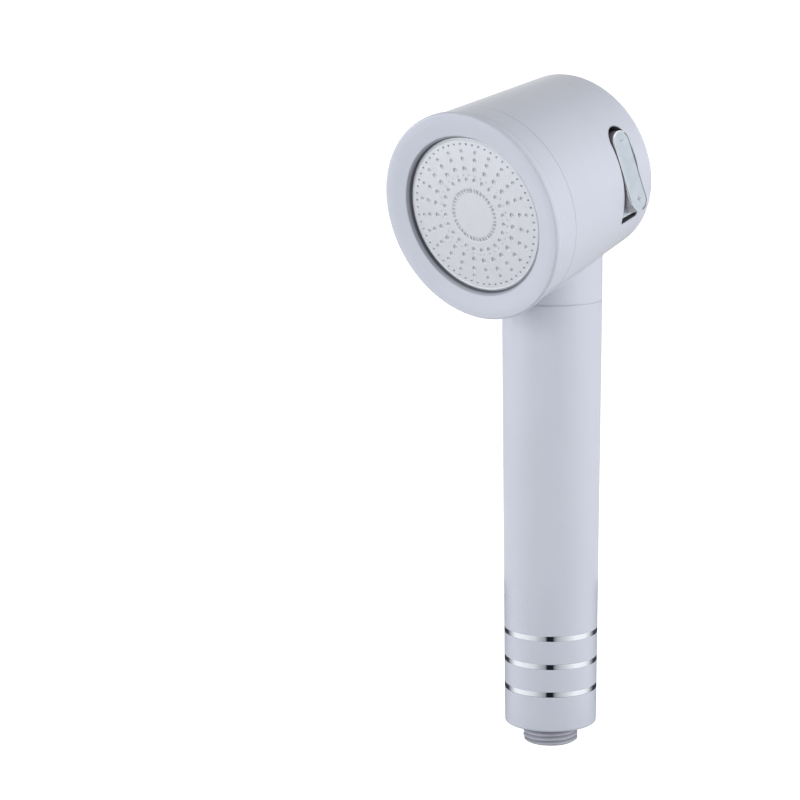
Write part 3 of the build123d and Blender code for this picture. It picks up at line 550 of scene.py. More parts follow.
def threaded_tube(segments=144, rows=88):
    """Radius R - depth * wave(z / pitch - a / 2 pi), wave a clipped triangle of the helix phase.

    Below, the start of the thread is cut back to a cone; above, it meets the plain neck.
    """
    angle = full_turn(segments)
    z = np.linspace(0.0, THREAD_LEN, rows)
    phase = (z[:, None] / THREAD_PITCH - angle[None] / (2 * pi)) % 1.0
    wave = np.clip(np.abs(phase - 0.5) * WAVE_SLOPE - WAVE_FLAT, 0.0, 1.0)
    run_out = np.clip((THREAD_LEN - z) / RUN_OUT, 0.0, 1.0)[:, None]
    radius = THREAD_R - THREAD_DEPTH * wave * run_out
    radius = np.minimum(radius, TIP_R + TIP_SLOPE * z[:, None])
    ends = np.array([(SHOULDER_R, THREAD_LEN + 0.02), (SHOULDER_R, SHOULDER_TOP),
                     (UNDERCUT_R, SHOULDER_TOP + 0.02), (UNDERCUT_R, THREADED_TOP),
                     (NIPPLE_BORE_R, THREADED_TOP), (NIPPLE_BORE_R, 0.0)])
    radius = np.concatenate([radius, np.repeat(ends[:, :1], segments, 1)])
    grid = polar_grid(radius, angle, np.concatenate([z, ends[:, 1]])[:, None])
    return grid.reshape(-1, 3), grid_quads(len(grid), segments, close_rows=True)


nipple = new_piece("inlet_thread", *threaded_tube(), sharp=50)
spot = mesh_points(nipple.data)
CREST = 0.12  # depth at which the crest of the thread ends and its root colour begins
# painted shade: the deeper a point lies in the thread, the darker the finish makes it
sunk = (THREAD_R - CREST - np.hypot(spot[:, 0], spot[:, 1])) / (THREAD_DEPTH - CREST)
painted_root_shade = np.where(spot[:, 2] < THREAD_LEN, np.clip(sunk, 0.0, 1.0), 0.0)
share_layer(nipple.data, "painted_root_shade", painted_root_shade)
seat(nipple, nipple_plastic, "handle", "nipple")
flange_profile = np.array([
    (NIPPLE_BORE_R, FLANGE_LOW), (FLANGE_R, FLANGE_LOW), (FLANGE_R, FLANGE_TOP),
    (CUP_R, FLANGE_TOP), (CUP_R, CUP_TOP), (CUP_BORE_R, CUP_TOP), (CUP_BORE_R, FLANGE_TOP),
    (THROAT_R, FLANGE_TOP), (THROAT_R, FLANGE_LOW)])
flange = new_piece("inlet_flange", *turned(flange_profile, ORIGIN, Z_AXIS, SIDE, segments=96))
seat(flange, nipple_plastic, "handle", "nipple", "inlet_nipple")

# %% [markdown]
# ## Face collar
#
# The ring that screws onto the drum. Its side carries on the drum's taper, and a fine
# line marks the joint. A short ramp leads up to its front rim, whose outer edge is a
# broad rounding. The face slopes in from there, and the wall of its opening falls to the
# spray plate. An attribute of the mesh paints shade on that wall, darker the deeper it
# goes towards the plate.

# %% Face collar
PLATE_VIEW_R, PLATE_DEPTH = 29.35, 3.2
RIM_R, RIM_DEPTH = 30.8, 1.15
RING_R, RIM_RAMP_S, RING_S = FRONT_R + 0.45, (37.2, 38.0), 38.9
UNDER_S = FRONT_S - PLATE_DEPTH
JOINT_GAP, COLLAR_BORE_R, BEAD_IN_R = 0.14, 35.435, 36.4
# darkness of the painted shade on the opening's wall, by depth below the front
LIP_DEPTHS, LIP_SHADES = (1.2, 1.45, 2.1, 2.5, 3.2), (0.0, 0.32, 0.44, 1.0, 1.0)
WALL_STEPS, LIP_OVER = 8, 0.25  # the lip's shade may reach this far past the wall's top

wall_share = np.arange(1, WALL_STEPS + 1) / WALL_STEPS
wall_line = [(RIM_R - (RIM_R - PLATE_VIEW_R) * share,
              FRONT_S - RIM_DEPTH - (PLATE_DEPTH - RIM_DEPTH) * share) for share in wall_share]
collar_profile = rounded([
    (COLLAR_BORE_R, UNDER_S), (COLLAR_BORE_R, SEAM_S + JOINT_GAP),
    (drum_radius(SEAM_S), SEAM_S + JOINT_GAP, 0.16),
    (drum_radius(RIM_RAMP_S[0]), RIM_RAMP_S[0], 0.5),
    (drum_radius(RIM_RAMP_S[1]) - 0.16, RIM_RAMP_S[1], 0.4), (RING_R, RING_S, 0.5),
    (RING_R, FRONT_S + 0.1, 1.25), (BEAD_IN_R, FRONT_S, 0.9),
    (RIM_R, FRONT_S - RIM_DEPTH, 0.3)] + wall_line, steps=8)
collar = new_piece("face_ring", *turned(collar_profile, HEAD_CENTRE, FACE, SIDE, segments=256))
place = mesh_points(collar.data) - HEAD_CENTRE
along = place @ FACE
reach = np.linalg.norm(place - along[:, None] * FACE, axis=1)
# painted shade on the wall of the opening, darker with depth
painted_lip_shade = np.where(reach < RIM_R + LIP_OVER, np.interp(FRONT_S - along, LIP_DEPTHS, LIP_SHADES), 0.0)
share_layer(collar.data, "painted_lip_shade", painted_lip_shade)
seat(collar, collar_plastic, "collar", "shell", "face_collar")
print("points of the dark lip", int((painted_lip_shade > 0.5).sum()))

# %% [markdown]
# ## Spray plate
#
# The plate is thin metal with rings of spray holes. Each hole sits in a small pressed
# dimple, and between the first two rings lies a ring of plain pips. The surface is cut
# into ring sectors, one for each dimple. A sector is a surface of two parameters: `u`
# runs round the dimple and `t` runs from the sector's border to the dimple's bottom.

# %% Spray plate: rows of dimples
PLATE_DOME, PLATE_DOME_R, PLATE_T, PLATE_TOP_S = 0.67, 28.5, 0.6, UNDER_S - 0.05
PLATE_EDGE_R = 35.3
# border points in a full turn, share of a dimple's radius that its wall takes, and the
# size of the flat ring about it that keeps its shading from spreading
SPOKES, WALL_SHARE, HOLD = 360, 0.42, 1.08
PIP_CLOSE_R = 0.004  # a pip has no hole, so its floor closes to this radius
# darkness of the painted shade down a dimple's wall, on its floor, and at most on a pip
BOWL_SHADE, FLOOR_SHADE, PIP_SHADE = 0.1, 0.3, 0.25
# radius of the row, dimples, radius of the hole, radius and depth of the dimple
ROWS = ((13.6, 24, 0.16, 0.92, 0.34), (15.3, 36, 0.0, 0.42, 0.16), (17.7, 24, 0.18, 1.06, 0.40),
        (21.4, 24, 0.16, 0.96, 0.36), (24.3, 24, 0.16, 0.80, 0.30), (27.0, 60, 0.20, 0.52, 0.26))
BORDERS = (11.4, 14.75, 16.0, 19.55, 22.85, 25.75, 28.2)
FIRST_ANGLE = {24: radians(4.0), 36: radians(8.0), 60: radians(4.0)}


def dome(radius):
    """Height of the plate above its rim: a shallow cap, dome * (1 - (r / rim)^2)."""
    return PLATE_DOME * np.clip(1.0 - (radius / PLATE_DOME_R) ** 2, 0.0, 1.0)


def sector(radius, count, hole_r, dimple_r, depth, inner, outer, side_steps=3):
    """Ring sectors about one row of dimples, as grids of (t, u) points in plate coordinates.

    The border is walked anticlockwise in polar coordinates. Each t moves a point from the
    border to the dimple's circle and down its rounded wall, depth * (1 - cos(pi w)) / 2
    where w runs from 0 to 1 across the wall, then over the flat floor to the hole.
    """
    half, arc_steps = pi / count, SPOKES // count
    arc = np.linspace(-half, half, arc_steps + 1)
    side = np.linspace(inner, outer, side_steps + 1)
    turn = np.concatenate([arc[:-1], np.full(side_steps, half),
                           arc[:0:-1], np.full(side_steps, -half)])
    reach = np.concatenate([np.full(arc_steps, inner), side[:-1],
                            np.full(arc_steps, outer), side[:0:-1]])
    border = reach[:, None] * unit_circle(turn)
    middle = np.array([radius, 0.0])
    away = border - middle
    circle = unit_rows(away)[0]
    across = np.linspace(0.0, 1.0, 5)
    bowl = depth * (1.0 - np.cos(pi * across)) / 2
    last = hole_r if hole_r else PIP_CLOSE_R
    size = np.concatenate([[HOLD * dimple_r], (1.0 - WALL_SHARE * across) * dimple_r, [last, last]])
    rings = middle + circle[None] * size[:, None, None]
    rings = np.concatenate([border[None], rings, border[None]])
    drops = np.concatenate([[0.0, 0.0], bowl, [depth, PLATE_T, PLATE_T]])
    # painted shade down the dimple's wall, on its floor and down the hole
    mark = np.concatenate([[0.0, 0.0], bowl / depth * BOWL_SHADE, [FLOOR_SHADE, 1.0, 0.0]])
    if not hole_r:
        mark = np.minimum(mark, PIP_SHADE)
    angles = full_turn(count) + FIRST_ANGLE[count]
    spin_c, spin_s = np.cos(angles)[:, None, None], np.sin(angles)[:, None, None]
    x = rings[None, ..., 0] * spin_c - rings[None, ..., 1] * spin_s
    y = rings[None, ..., 0] * spin_s + rings[None, ..., 1] * spin_c
    s = PLATE_TOP_S + dome(np.hypot(x, y)) - drops[None, :, None]
    return np.stack([x, y, s], -1), np.broadcast_to(mark[None, :, None], x.shape)


plate_blocks, plate_marks = [], []
for row, inner, outer in zip(ROWS, BORDERS, BORDERS[1:]):
    cells, marks = sector(*row, inner, outer)
    plate_blocks.append((head_place(cells).reshape(-1, 3), repeated_quads(*cells.shape[:3])))
    plate_marks.append(marks.ravel())

# %% [markdown]
# The middle of the plate is a smooth disc inside a ring of short engraved strokes, like
# the scale of a dial: wide and narrow ones, long and half as long. The strokes are real
# grooves. An attribute of the mesh is high in a groove, down a dimple and in a hole, and
# the finish darkens there: in the strokes as their marking, in dimples and holes as painted shade.

# %% Middle disc with its ring of strokes, and the rim with its small bead
STROKE_DEPTH, STROKE_SHADE, BEAD_H = 0.16, 0.7, 0.2
STROKE_IN, HALF_STROKE_IN, STROKE_OUT = 8.6, 9.3, 10.1
spoke = np.arange(SPOKES)
spoke_angle = (spoke + 0.5) * 2 * pi / SPOKES + FIRST_ANGLE[24] - pi / 24 - radians(0.5)
middle_r = np.array([0.0, 3.0, 6.0, 8.3, 8.55, 8.65, 9.0, 9.25, 9.35, 9.7, 10.05, 10.15, 10.8,
                     BORDERS[0]])
rim_r = np.array([BORDERS[-1], 28.45, 28.6, 28.72, 28.85, 28.95, 29.1, 31.0, PLATE_EDGE_R])
rim_lift = np.interp(rim_r, (28.45, 28.72, 28.85, 29.1), (0.0, BEAD_H, BEAD_H, 0.0))
# a mark is nine spokes: a wide full stroke, a half stroke, at two marks of three a narrow
# full stroke, and at every other mark a second half stroke
column, mark_number = spoke % 9, spoke // 9
stroke = ((column < 2) | ((column == 4) & (mark_number % 3 > 0)))[None, :]
half_stroke = ((column == 3) | ((column == 5) & (mark_number % 2 == 0)))[None, :]
in_ring = ((middle_r > STROKE_IN) & (middle_r < STROKE_OUT))[:, None]
in_half = ((middle_r > HALF_STROKE_IN) & (middle_r < STROKE_OUT))[:, None]
groove = np.where((in_ring & stroke) | (in_half & half_stroke), STROKE_SHADE, 0.0)
plain = np.zeros((len(rim_r), SPOKES))
for radii, marks, lift in ((middle_r, groove, 0 * middle_r), (rim_r, plain, rim_lift)):
    top = PLATE_TOP_S + (dome(radii) + lift)[:, None] - STROKE_DEPTH * marks
    under = np.repeat(PLATE_TOP_S + dome(radii)[:, None] - PLATE_T, SPOKES, 1)
    inward = radii[0] < 1.0
    radius = np.concatenate([radii[::-1], radii] if inward else [radii, radii[::-1]])[:, None]
    height = np.concatenate([top[::-1], under] if inward else [top, under[::-1]])
    disc = head_place(polar_grid(radius, spoke_angle, height))
    shade = np.zeros(height.shape)
    shade[: len(radii)] = marks[::-1] if inward else marks
    plate_blocks.append((disc.reshape(-1, 3), grid_quads(*height.shape)))
    plate_marks.append(shade.ravel())


def nearest_marks(mesh, verts, marks, cell=0.004):
    """Mark of the given point at each of the mesh's points, the largest where several meet.

    Places are compared as whole numbers of cells, in millimetres.
    """
    spots = np.round(verts / cell).astype(np.int64)
    _, first, spot = np.unique(spots, axis=0, return_index=True, return_inverse=True)
    value = np.zeros(len(first))
    np.maximum.at(value, spot.ravel(), marks)
    mark_at = dict(zip(map(tuple, spots[first].tolist()), value.tolist()))
    found = np.round(mesh_points(mesh) / cell).astype(np.int64)
    return [mark_at.get(key, 0.0) for key in map(tuple, found.tolist())]


# the over colour is the strokes' marking, and painted shade in the dimples and holes
satin_plate = finish("satin_plate", (0.705, 0.725, 0.79), (0.735, 0.755, 0.82), (0.27, 0.33),
                     metallic=0.55, cloud=420.0, speckle=3000.0, bump=0.12, depth=0.00003,
                     over=("etched_and_painted_shade", (0.18, 0.18, 0.205)))
plate_points, plate_faces = joined(plate_blocks)
plate = new_piece("dimpled_plate", plate_points, plate_faces, sharp=40)
etched_and_painted_shade = nearest_marks(plate.data, plate_points, np.concatenate(plate_marks))
share_layer(plate.data, "etched_and_painted_shade", etched_and_painted_shade)
seat(plate, satin_plate, "spray_face", "steel", "spray_plate")
print("etched points of the plate", int((np.array(etched_and_painted_shade) > 0.5).sum()))

# %% [markdown]
# ## Rocker
#
# The rocker is a long rounded button. Each row of its surface is a stadium, two half
# circles joined by straight runs. Moved inwards by `d`, it keeps its centres and only its
# radius shrinks. So the whole button is a list of (d, height) pairs: wall, bright rounded
# edge, flat satin face, and back down the hollow inside. The arm that works the valve
# and the square foot at the lower end are flat shapes given thickness.

# %% Rocker button, hub and arm
REST = radians(11.2)  # how far the lower end stands out at rest
OUTWARD = cos(REST) * SIDE + sin(REST) * UP
DOWN = sin(REST) * SIDE - cos(REST) * UP
RECESS_S = -10.4
PIN = HEAD_CENTRE + 27.0 * SIDE + 1.9 * UP + RECESS_S * FACE
PADDLE_LEN, PADDLE_W, PADDLE_FACE, PADDLE_SKIRT, PADDLE_WALL = 31.7, 9.3, 8.9, 1.1, 1.5
PADDLE_SHORT = 0.7  # the upper end is this much shorter than the lower one
EDGE_R, FAR_LINE = 0.5, 0.3


def rocker_place(across, down, height):
    """Rocker coordinates to the object's frame, from the middle of the pin."""
    return PIN + across[..., None] * FACE + down[..., None] * DOWN + height[..., None] * OUTWARD


def stadium_rows(rows, steps=24, least_r=0.002):
    """P(d, a) = middle of the half circle + (W / 2 - d) (cos a, sin a), at its height."""
    rows = np.asarray(rows, float)
    angle = np.concatenate([np.linspace(0, pi, steps), np.linspace(pi, 2 * pi, steps)])
    run = (PADDLE_LEN - PADDLE_W) / 2
    shift = np.repeat([run, PADDLE_SHORT - run], steps)
    radius = np.maximum(PADDLE_W / 2 - rows[:, :1], least_r)
    height = np.repeat(rows[:, 1:], len(angle), 1)
    return rocker_place(radius * np.cos(angle), radius * np.sin(angle) + shift, height)


# rows at 3.0 and 2.4 only hold the shading of the long flat runs
edge = np.linspace(0, pi / 2, 6)[1:-1]
edge_row, ceiling = PADDLE_FACE - EDGE_R, PADDLE_FACE - PADDLE_WALL
button = stadium_rows(
    [(0.0, -PADDLE_SKIRT), (0.0, 3.0), (0.0, edge_row - 0.1), (0.0, edge_row)] +
    [(EDGE_R * (1 - cos(a)), PADDLE_FACE - EDGE_R * (1 - sin(a))) for a in edge] +
    [(EDGE_R, PADDLE_FACE), (EDGE_R + FAR_LINE, PADDLE_FACE), (2.4, PADDLE_FACE),
     (PADDLE_W / 2, PADDLE_FACE), (PADDLE_W / 2, ceiling), (PADDLE_WALL, ceiling),
     (PADDLE_WALL, -PADDLE_SKIRT)])
button_block = (button.reshape(-1, 3), grid_quads(*button.shape[:2], close_rows=True))


def thick_shape(outline, half):
    """Flat outline (height, down), given the thickness 2 * half across; capped at both sides."""
    count = len(outline)
    points = [rocker_place(np.full(count, across), outline[:, 1], outline[:, 0])
              for across in (-half, half)]
    ring = np.arange(count)
    walls = np.stack([ring, (ring + 1) % count, (ring + 1) % count + count, ring + count], -1)
    return np.vstack(points), [*walls, ring[::-1], ring + count]


def arc_points(centre, radius, start, stop, steps):
    """Points of an arc in (height, down), angles in degrees from straight out."""
    return np.array(centre) + radius * unit_circle(np.radians(np.linspace(start, stop, steps)))


ARM_LEN, ARM_HALF, ARM_HALF_W, NOSE_R, HUB_R = 12.9975, 1.15, 2.2, 2.2, 3.0
NOSE_GAP = 31.5  # half angle that the arm covers of its round nose, degrees
FOOT_START, FOOT_LEN, FOOT_H = 11.0, 16.6, 2.4
hub_top = PADDLE_FACE - 1.0
foot_outline = np.array([(-PADDLE_SKIRT, FOOT_START), (FOOT_H, FOOT_START), (FOOT_H, FOOT_LEN),
                         (-PADDLE_SKIRT, FOOT_LEN)])
arm_outline = np.vstack([arc_points((-ARM_LEN, 0.0), NOSE_R, NOSE_GAP, 360 - NOSE_GAP, 25),
                         [(0.0, -ARM_HALF), (0.0, ARM_HALF)]])
hub_outline = np.vstack([arc_points((0.0, 0.0), HUB_R, 90, 270, 17),
                         [(hub_top, -HUB_R), (hub_top, HUB_R)]])
# the hub and the foot end a hair inside the button's sides, so no two faces share a plane
rocker_verts, rocker_faces = joined([
    button_block, thick_shape(arm_outline, ARM_HALF_W),
    thick_shape(hub_outline, PADDLE_W / 2 - 0.02), thick_shape(foot_outline, PADDLE_W / 2 - 0.01)])

# %% [markdown]
# The button has four finishes: dull walls, a bright rounded edge, the satin face, and a
# dark line of painted shade on the far side of the edge. Each face of the mesh gets its
# own from where it lies. Each end of the button carries a small printed sign, a plus where it lets
# the
# water run and a minus where it pauses it: rounded bars that stand a hair above the face.

# %% Finishes of the rocker
rocker = new_piece("rocker", rocker_verts, rocker_faces, sharp=40)
seat(rocker, rocker_wall, "rocker", "rocker", "rocker_paddle")
for material in (chrome, satin_silver, dark_edge_painted_shade):
    rocker.data.materials.append(material)
middle, normal = face_places(rocker.data)
place = middle - PIN
height = place @ OUTWARD
along = place @ DOWN
core = np.clip(along, (PADDLE_W - PADDLE_LEN) / 2 + PADDLE_SHORT, (PADDLE_LEN - PADDLE_W) / 2)
outwards, from_core = unit_rows(np.stack([place @ FACE, along - core], -1))
inset = PADDLE_W / 2 - from_core
# heights and insets are compared with small tolerances, normals with the least cosine
on_face = (height > PADDLE_FACE - 0.02) & (normal @ OUTWARD > 0.95)
on_edge = (height > PADDLE_FACE - EDGE_R - 0.15) & ~on_face & (inset < 1.0)
ledge = (height > FOOT_H - 0.1) & (height < FOOT_H + 0.1) & (normal @ OUTWARD > 0.9)
# the edge's side that looks rearwards and down gets painted shade, a dark line
far_edge_shade = (on_edge | on_face) & (inset < EDGE_R + FAR_LINE) & (outwards @ (-0.93, 0.37) > 0.4)
part = np.select([far_edge_shade, on_face | ledge, on_edge], [3, 2, 1], 0)
rocker.data.polygons.foreach_set("material_index", part.astype(np.int32))
print("rocker faces: satin", int(on_face.sum()), "bright", int(on_edge.sum()))


# %% Signs of the rocker
SIGN_LONG, SIGN_THIN, PLUS_DOWN, MINUS_DOWN = 1.15, 0.17, 11.2, -11.4


def sign_bar(down, half_across, half_down, top=0.025, steps=24):
    """Rounded flat bar on the face: a superellipse (|x|^4 + |y|^4 = 1) lifted by top."""
    circle = unit_circle(full_turn(steps)).T
    x, y = np.sign(circle) * np.abs(circle) ** 0.5
    # share of the outline and height above the face: the foot is sunk, the top bevelled
    rows = [(1.0, -0.2), (1.0, top * 0.6), (0.9, top), (0.3, top)]
    grid = np.stack([rocker_place(half_across * k * x, down + half_down * k * y,
                                  np.full(steps, PADDLE_FACE + h)) for k, h in rows])
    ring = np.arange(steps)
    caps = [ring[::-1], ring + (len(rows) - 1) * steps]
    return grid.reshape(-1, 3), [*grid_quads(len(rows), steps), *caps]


sign_ink = finish("sign_grey", (0.20, 0.23, 0.26), (0.26, 0.29, 0.32), (0.4, 0.55), bump=0.2)
bars = ((PLUS_DOWN, SIGN_LONG, SIGN_THIN), (PLUS_DOWN, SIGN_THIN, SIGN_LONG),
        (MINUS_DOWN, SIGN_LONG, SIGN_THIN))
signs = new_piece("rocker_signs", *joined([sign_bar(*bar) for bar in bars]), sharp=60)
seat(signs, sign_ink, "rocker", "rocker")

# %% [markdown]
# The rocker sits in a grey tray. Its upstand lines the opening in the drum, dark as painted
# shade of the gap, so a thin line shows round it. Its path is the opening's outline: half a
# circle at the top, two straight sides, and two small corners at the bottom.

# %% Upstand of the tray round the opening, dark as painted shade of the gap
RECESS_HALF, RECESS_TOP, RECESS_LOW, RECESS_CORNER = 5.55, 20.0, -16.3, 1.2
UPSTAND_FOOT_X, UPSTAND_T, UPSTAND_GAP, UPSTAND_UNDER = 24.0, 0.34, 0.03, 0.12


def recess_outline(inset):
    """Opening's outline as (s, v) points, moved inwards: arcs joined by straight runs."""
    half, corner = RECESS_HALF - inset, RECESS_CORNER - inset
    top = np.linspace(0, pi, 33)
    points = [(0.0, RECESS_TOP - RECESS_HALF) + half * unit_circle(top)]
    side = np.linspace(RECESS_TOP - RECESS_HALF, RECESS_LOW + RECESS_CORNER, 12)[1:-1]
    points.append(np.stack([np.full(len(side), -half), side], -1))
    for way, start in ((-1, pi), (1, 1.5 * pi)):
        turn = np.linspace(start, start + pi / 2, 7)
        middle = (way * (RECESS_HALF - RECESS_CORNER), RECESS_LOW + RECESS_CORNER)
        points.append(middle + corner * unit_circle(turn))
    points.append(np.stack([np.full(len(side), half), side[::-1]], -1))
    return np.vstack(points)


def upstand_rows(inset):
    """The outline at the upstand's foot, and just under the cone: x = sqrt(R(s)^2 - v^2)."""
    s, v = (recess_outline(inset) + (RECESS_S, 0.0)).T
    top = np.sqrt(drum_radius(s) ** 2 - v ** 2) - UPSTAND_UNDER
    return [np.stack([x, v, s], -1) for x in (np.full(len(s), UPSTAND_FOOT_X), top)]


outer, inner = upstand_rows(UPSTAND_GAP), upstand_rows(UPSTAND_T)
wall = np.stack([*outer, *inner[::-1]])
# dark lining of painted shade along the gap round the opening
upstand_gap_shade = new_piece("tray_upstand_gap_shade", head_place(wall).reshape(-1, 3),
                    grid_quads(*wall.shape[:2], close_rows=True), sharp=40)
seat(upstand_gap_shade, dark_plastic_and_gap_shade, "handle", "inner_plastic")

# %% [markdown]
# ## Silicone brush
#
# A soft pad with rings of round-tipped bristles, all one moulding. One bristle is a small
# turned surface; its grid is repeated at every place of the rings at once.

# %% Brush pad with bristles
BRUSH_R, BASE_S = 28.6, REAR_S - 0.8
FLANGE_R, FLANGE_S, PAD_BACK_S, SOCKET_R, PAD_T = 31.3, REAR_S + 4.3, REAR_S + 5.9, 25.4, 3.0
pad_profile = rounded([(0.0, BASE_S + PAD_T), (0.0, BASE_S), (BRUSH_R, BASE_S, 0.9),
                       (BRUSH_R, FLANGE_S), (FLANGE_R, FLANGE_S), (FLANGE_R, PAD_BACK_S),
                       (SOCKET_R, PAD_BACK_S), (SOCKET_R, BASE_S + PAD_T)])
RING_COUNT, RING_PITCH, RING_STEP = 12, 2.26, 2.03
BRISTLE_R, BRISTLE_LEN = 0.62, 2.8


def bristle_field(pitch, rings, radius, length, columns=10):
    """Bristles on circles k * pitch: each a slim cone closed by half a sphere.

    B(place, row, a) = place + radius * spread(row) (cos a, sin a), at height(row).
    """
    ring = [(k, int(round(2 * pi * k * pitch / RING_STEP))) for k in range(1, rings + 1)]
    k = np.repeat([k for k, count in ring], [count for k, count in ring])
    angle = np.concatenate([(np.arange(count) + 0.5 * (k % 2)) * 2 * pi / count
                            for k, count in ring])
    places = np.vstack([[(0.0, 0.0)], k[:, None] * pitch * unit_circle(angle)])
    cap = np.radians([0.0, 30.0, 60.0, 84.0])
    # two rows flare the foot and sink it into the pad, the others round the tip
    spread = radius * np.concatenate([[1.22, 1.04], np.cos(cap)])[:, None]
    height = np.concatenate([[-0.25, 0.35], length - radius + radius * np.sin(cap)])
    shape = polar_grid(spread, full_turn(columns), height[:, None]).reshape(-1, 3)
    flat = places[:, None] + shape[None, :, :2]
    tall = np.broadcast_to(shape[None, :, 2:], (*flat.shape[:2], 1))
    rows = len(spread)
    feet = np.arange(len(places))[:, None] * rows * columns + np.arange(columns)
    tops = feet + (rows - 1) * columns
    faces = [*repeated_quads(len(places), rows, columns), *tops, *feet[:, ::-1]]
    return np.concatenate([flat, tall], -1).reshape(-1, 3), faces, len(places)


field, field_faces, bristles = bristle_field(RING_PITCH, RING_COUNT, BRISTLE_R, BRISTLE_LEN)
field[:, 2] = BASE_S - field[:, 2]
pad = turned(pad_profile, HEAD_CENTRE, FACE, SIDE)
brush = new_piece("silicone_brush", *joined([pad, (head_place(field), field_faces)]), sharp=50)
seat(brush, silicone, "handle", "silicone", "brush_pad")
print("bristles", bristles)

# %% [markdown]
# ## Floor, light and camera
#
# A plain white floor and a white surround, with two broad side lights and a small front
# light, as in a product studio. The polished rings need something to reflect, so a curved
# card stands round the handle, grey to white to dark, which only reflections can see.
#
# The camera's place comes first, because the cards and the lights are set by bearings
# counted from the camera's own.

# %% Place of the camera, metres
CAMERA_SPOT = np.array((0.67073, -0.87125, 0.33350))
CAMERA_BEARING = np.arctan2(CAMERA_SPOT[1], CAMERA_SPOT[0])


def around(bearing, distance, height):
    """Place at a bearing in degrees from the camera's, positive to the camera's right."""
    return polar_grid(distance, CAMERA_BEARING + radians(bearing), height)


# %% Floor
WHITE, BLACK = (1.0, 1.0, 1.0, 1.0), (0.0, 0.0, 0.0, 1.0)
FLOOR_HALF, FLOOR_Z = 6.0, -0.0002
FLOOR_GLOW, GLOSSY_SHARE = 0.85, 0.3  # glow for the camera, and its share for reflections


def white_stage():
    """Pale rough floor that keeps the shadow, lifted to white for the camera."""
    material, tree, shader = new_material("white_stage")
    rays = add_node(tree, "LightPath").outputs
    faint = math_node(tree, "MULTIPLY", rays["Is Glossy Ray"], GLOSSY_SHARE)
    clear = math_node(tree, "MAXIMUM", rays["Is Camera Ray"], rays["Is Transmission Ray"])
    glow = math_node(tree, "MULTIPLY", math_node(tree, "MAXIMUM", clear, faint), FLOOR_GLOW)
    wire(tree, shader, {"Base Color": (0.60, 0.60, 0.60, 1.0), "Roughness": 0.9,
                        "Emission Color": WHITE, "Emission Strength": glow})
    return material


floor_mesh = bpy.data.meshes.new("floor")
floor_mesh.from_pydata([(x * FLOOR_HALF, y * FLOOR_HALF, FLOOR_Z)
                        for x, y in ((-1, -1), (1, -1), (1, 1), (-1, 1))], [], [(0, 1, 2, 3)])
floor_mesh.materials.append(white_stage())
placed("floor", floor_mesh)

# %% [markdown]
# The surround is white for the camera and for reflections. As a light it is brightest at
# the level of the object and falls towards the top. A wide glow, the square of the cosine
# of the angle from straight behind the object, keeps its back from being dull.

# %% Surround
SKY_LEVEL, SKY_TOP, SKY_TOP_Z = 0.59, 0.265, 0.9
REAR_GLOW, REAR_POWER = 0.6, 2.0


def white_surround():
    """World that is white to the camera and to reflections, and lights with the sky's strength."""
    world = bpy.data.worlds.new("studio")
    world.use_nodes = True
    tree = world.node_tree
    rays = add_node(tree, "LightPath").outputs
    seen = math_node(tree, "MAXIMUM", rays["Is Camera Ray"], rays["Is Glossy Ray"])
    way = add_node(tree, "TexCoord").outputs["Generated"]
    rise = add_node(tree, "SeparateXYZ", {0: way}).outputs["Z"]
    sky = ramp(tree, rise, 0.0, SKY_TOP_Z, SKY_LEVEL, SKY_TOP)
    rearwards = (-cos(CAMERA_BEARING), -sin(CAMERA_BEARING), 0.0)
    rear = add_node(tree, "VectorMath", {0: way, 1: rearwards}, operation="DOT_PRODUCT")
    rear = math_node(tree, "MAXIMUM", rear.outputs["Value"], 0.0)
    glow = math_node(tree, "MULTIPLY", math_node(tree, "POWER", rear, REAR_POWER), REAR_GLOW)
    strength = math_node(tree, "MAXIMUM", seen, math_node(tree, "ADD", sky, glow))
    wire(tree, tree.nodes["Background"], {"Color": WHITE, "Strength": strength})
    return world


bpy.context.scene.world = white_surround()

# %% Curved card that only reflections see
CARD_R, CARD_LOW, CARD_HIGH = 0.055, 0.0003, 0.052
CARD_DARK, CARD_LIGHT = (0.010, 0.012, 0.020), (0.96, 0.975, 1.0)
# bearing from the camera's, degrees, and brightness of the card there
CARD_TONES = np.array((
    (-180, 0.4), (-156, 0.3), (-150, 0.04), (-114, 0.04), (-108, 0.3), (-98, 0.6), (-86, 0.95),
    (-73, 1.0), (-52, 0.9), (-35, 0.75), (-24, 0.55), (-11.5, 0.34), (-7.7, 0.0), (4.7, 0.0),
    (7.5, 0.2), (12, 0.4), (20, 0.55), (37, 0.75), (54, 1.0), (80, 1.0), (94, 0.75), (104, 0.4),
    (110, 0.2), (115, 0.04), (150, 0.04), (156, 0.3), (180, 0.4)))


def glossy_card(name, verts, faces, tones):
    """Glowing surface that only reflections see; a point attribute holds its brightness."""
    mesh = bpy.data.meshes.new(name)
    mesh.from_pydata(verts.tolist(), [], faces.tolist())
    share_layer(mesh, "tone", tones)
    material, tree, shader = new_material(name)
    glow = mix_colour(tree, attribute_of(tree, "tone"), CARD_DARK, CARD_LIGHT)
    wire(tree, shader, {"Base Color": BLACK, "Specular IOR Level": 0.0, "Emission Color": glow,
                        "Emission Strength": 1.0})
    mesh.materials.append(material)
    card = placed(name, mesh)
    for rays in ("camera", "diffuse", "shadow", "transmission"):
        setattr(card, "visible_" + rays, False)
    return card


def tone_card():
    """Wall C(a, z) = (R cos a, R sin a, z), as bright as the line through CARD_TONES."""
    degrees = np.arange(-180, 180, 1.0)
    bearing = CAMERA_BEARING + np.radians(degrees)
    verts = np.vstack([polar_grid(CARD_R, bearing, z) for z in (CARD_LOW, CARD_HIGH)])
    tone = np.interp(degrees, *CARD_TONES.T)
    return glossy_card("reflection_card", verts, grid_quads(2, len(degrees)), np.tile(tone, 2))


tone_card()

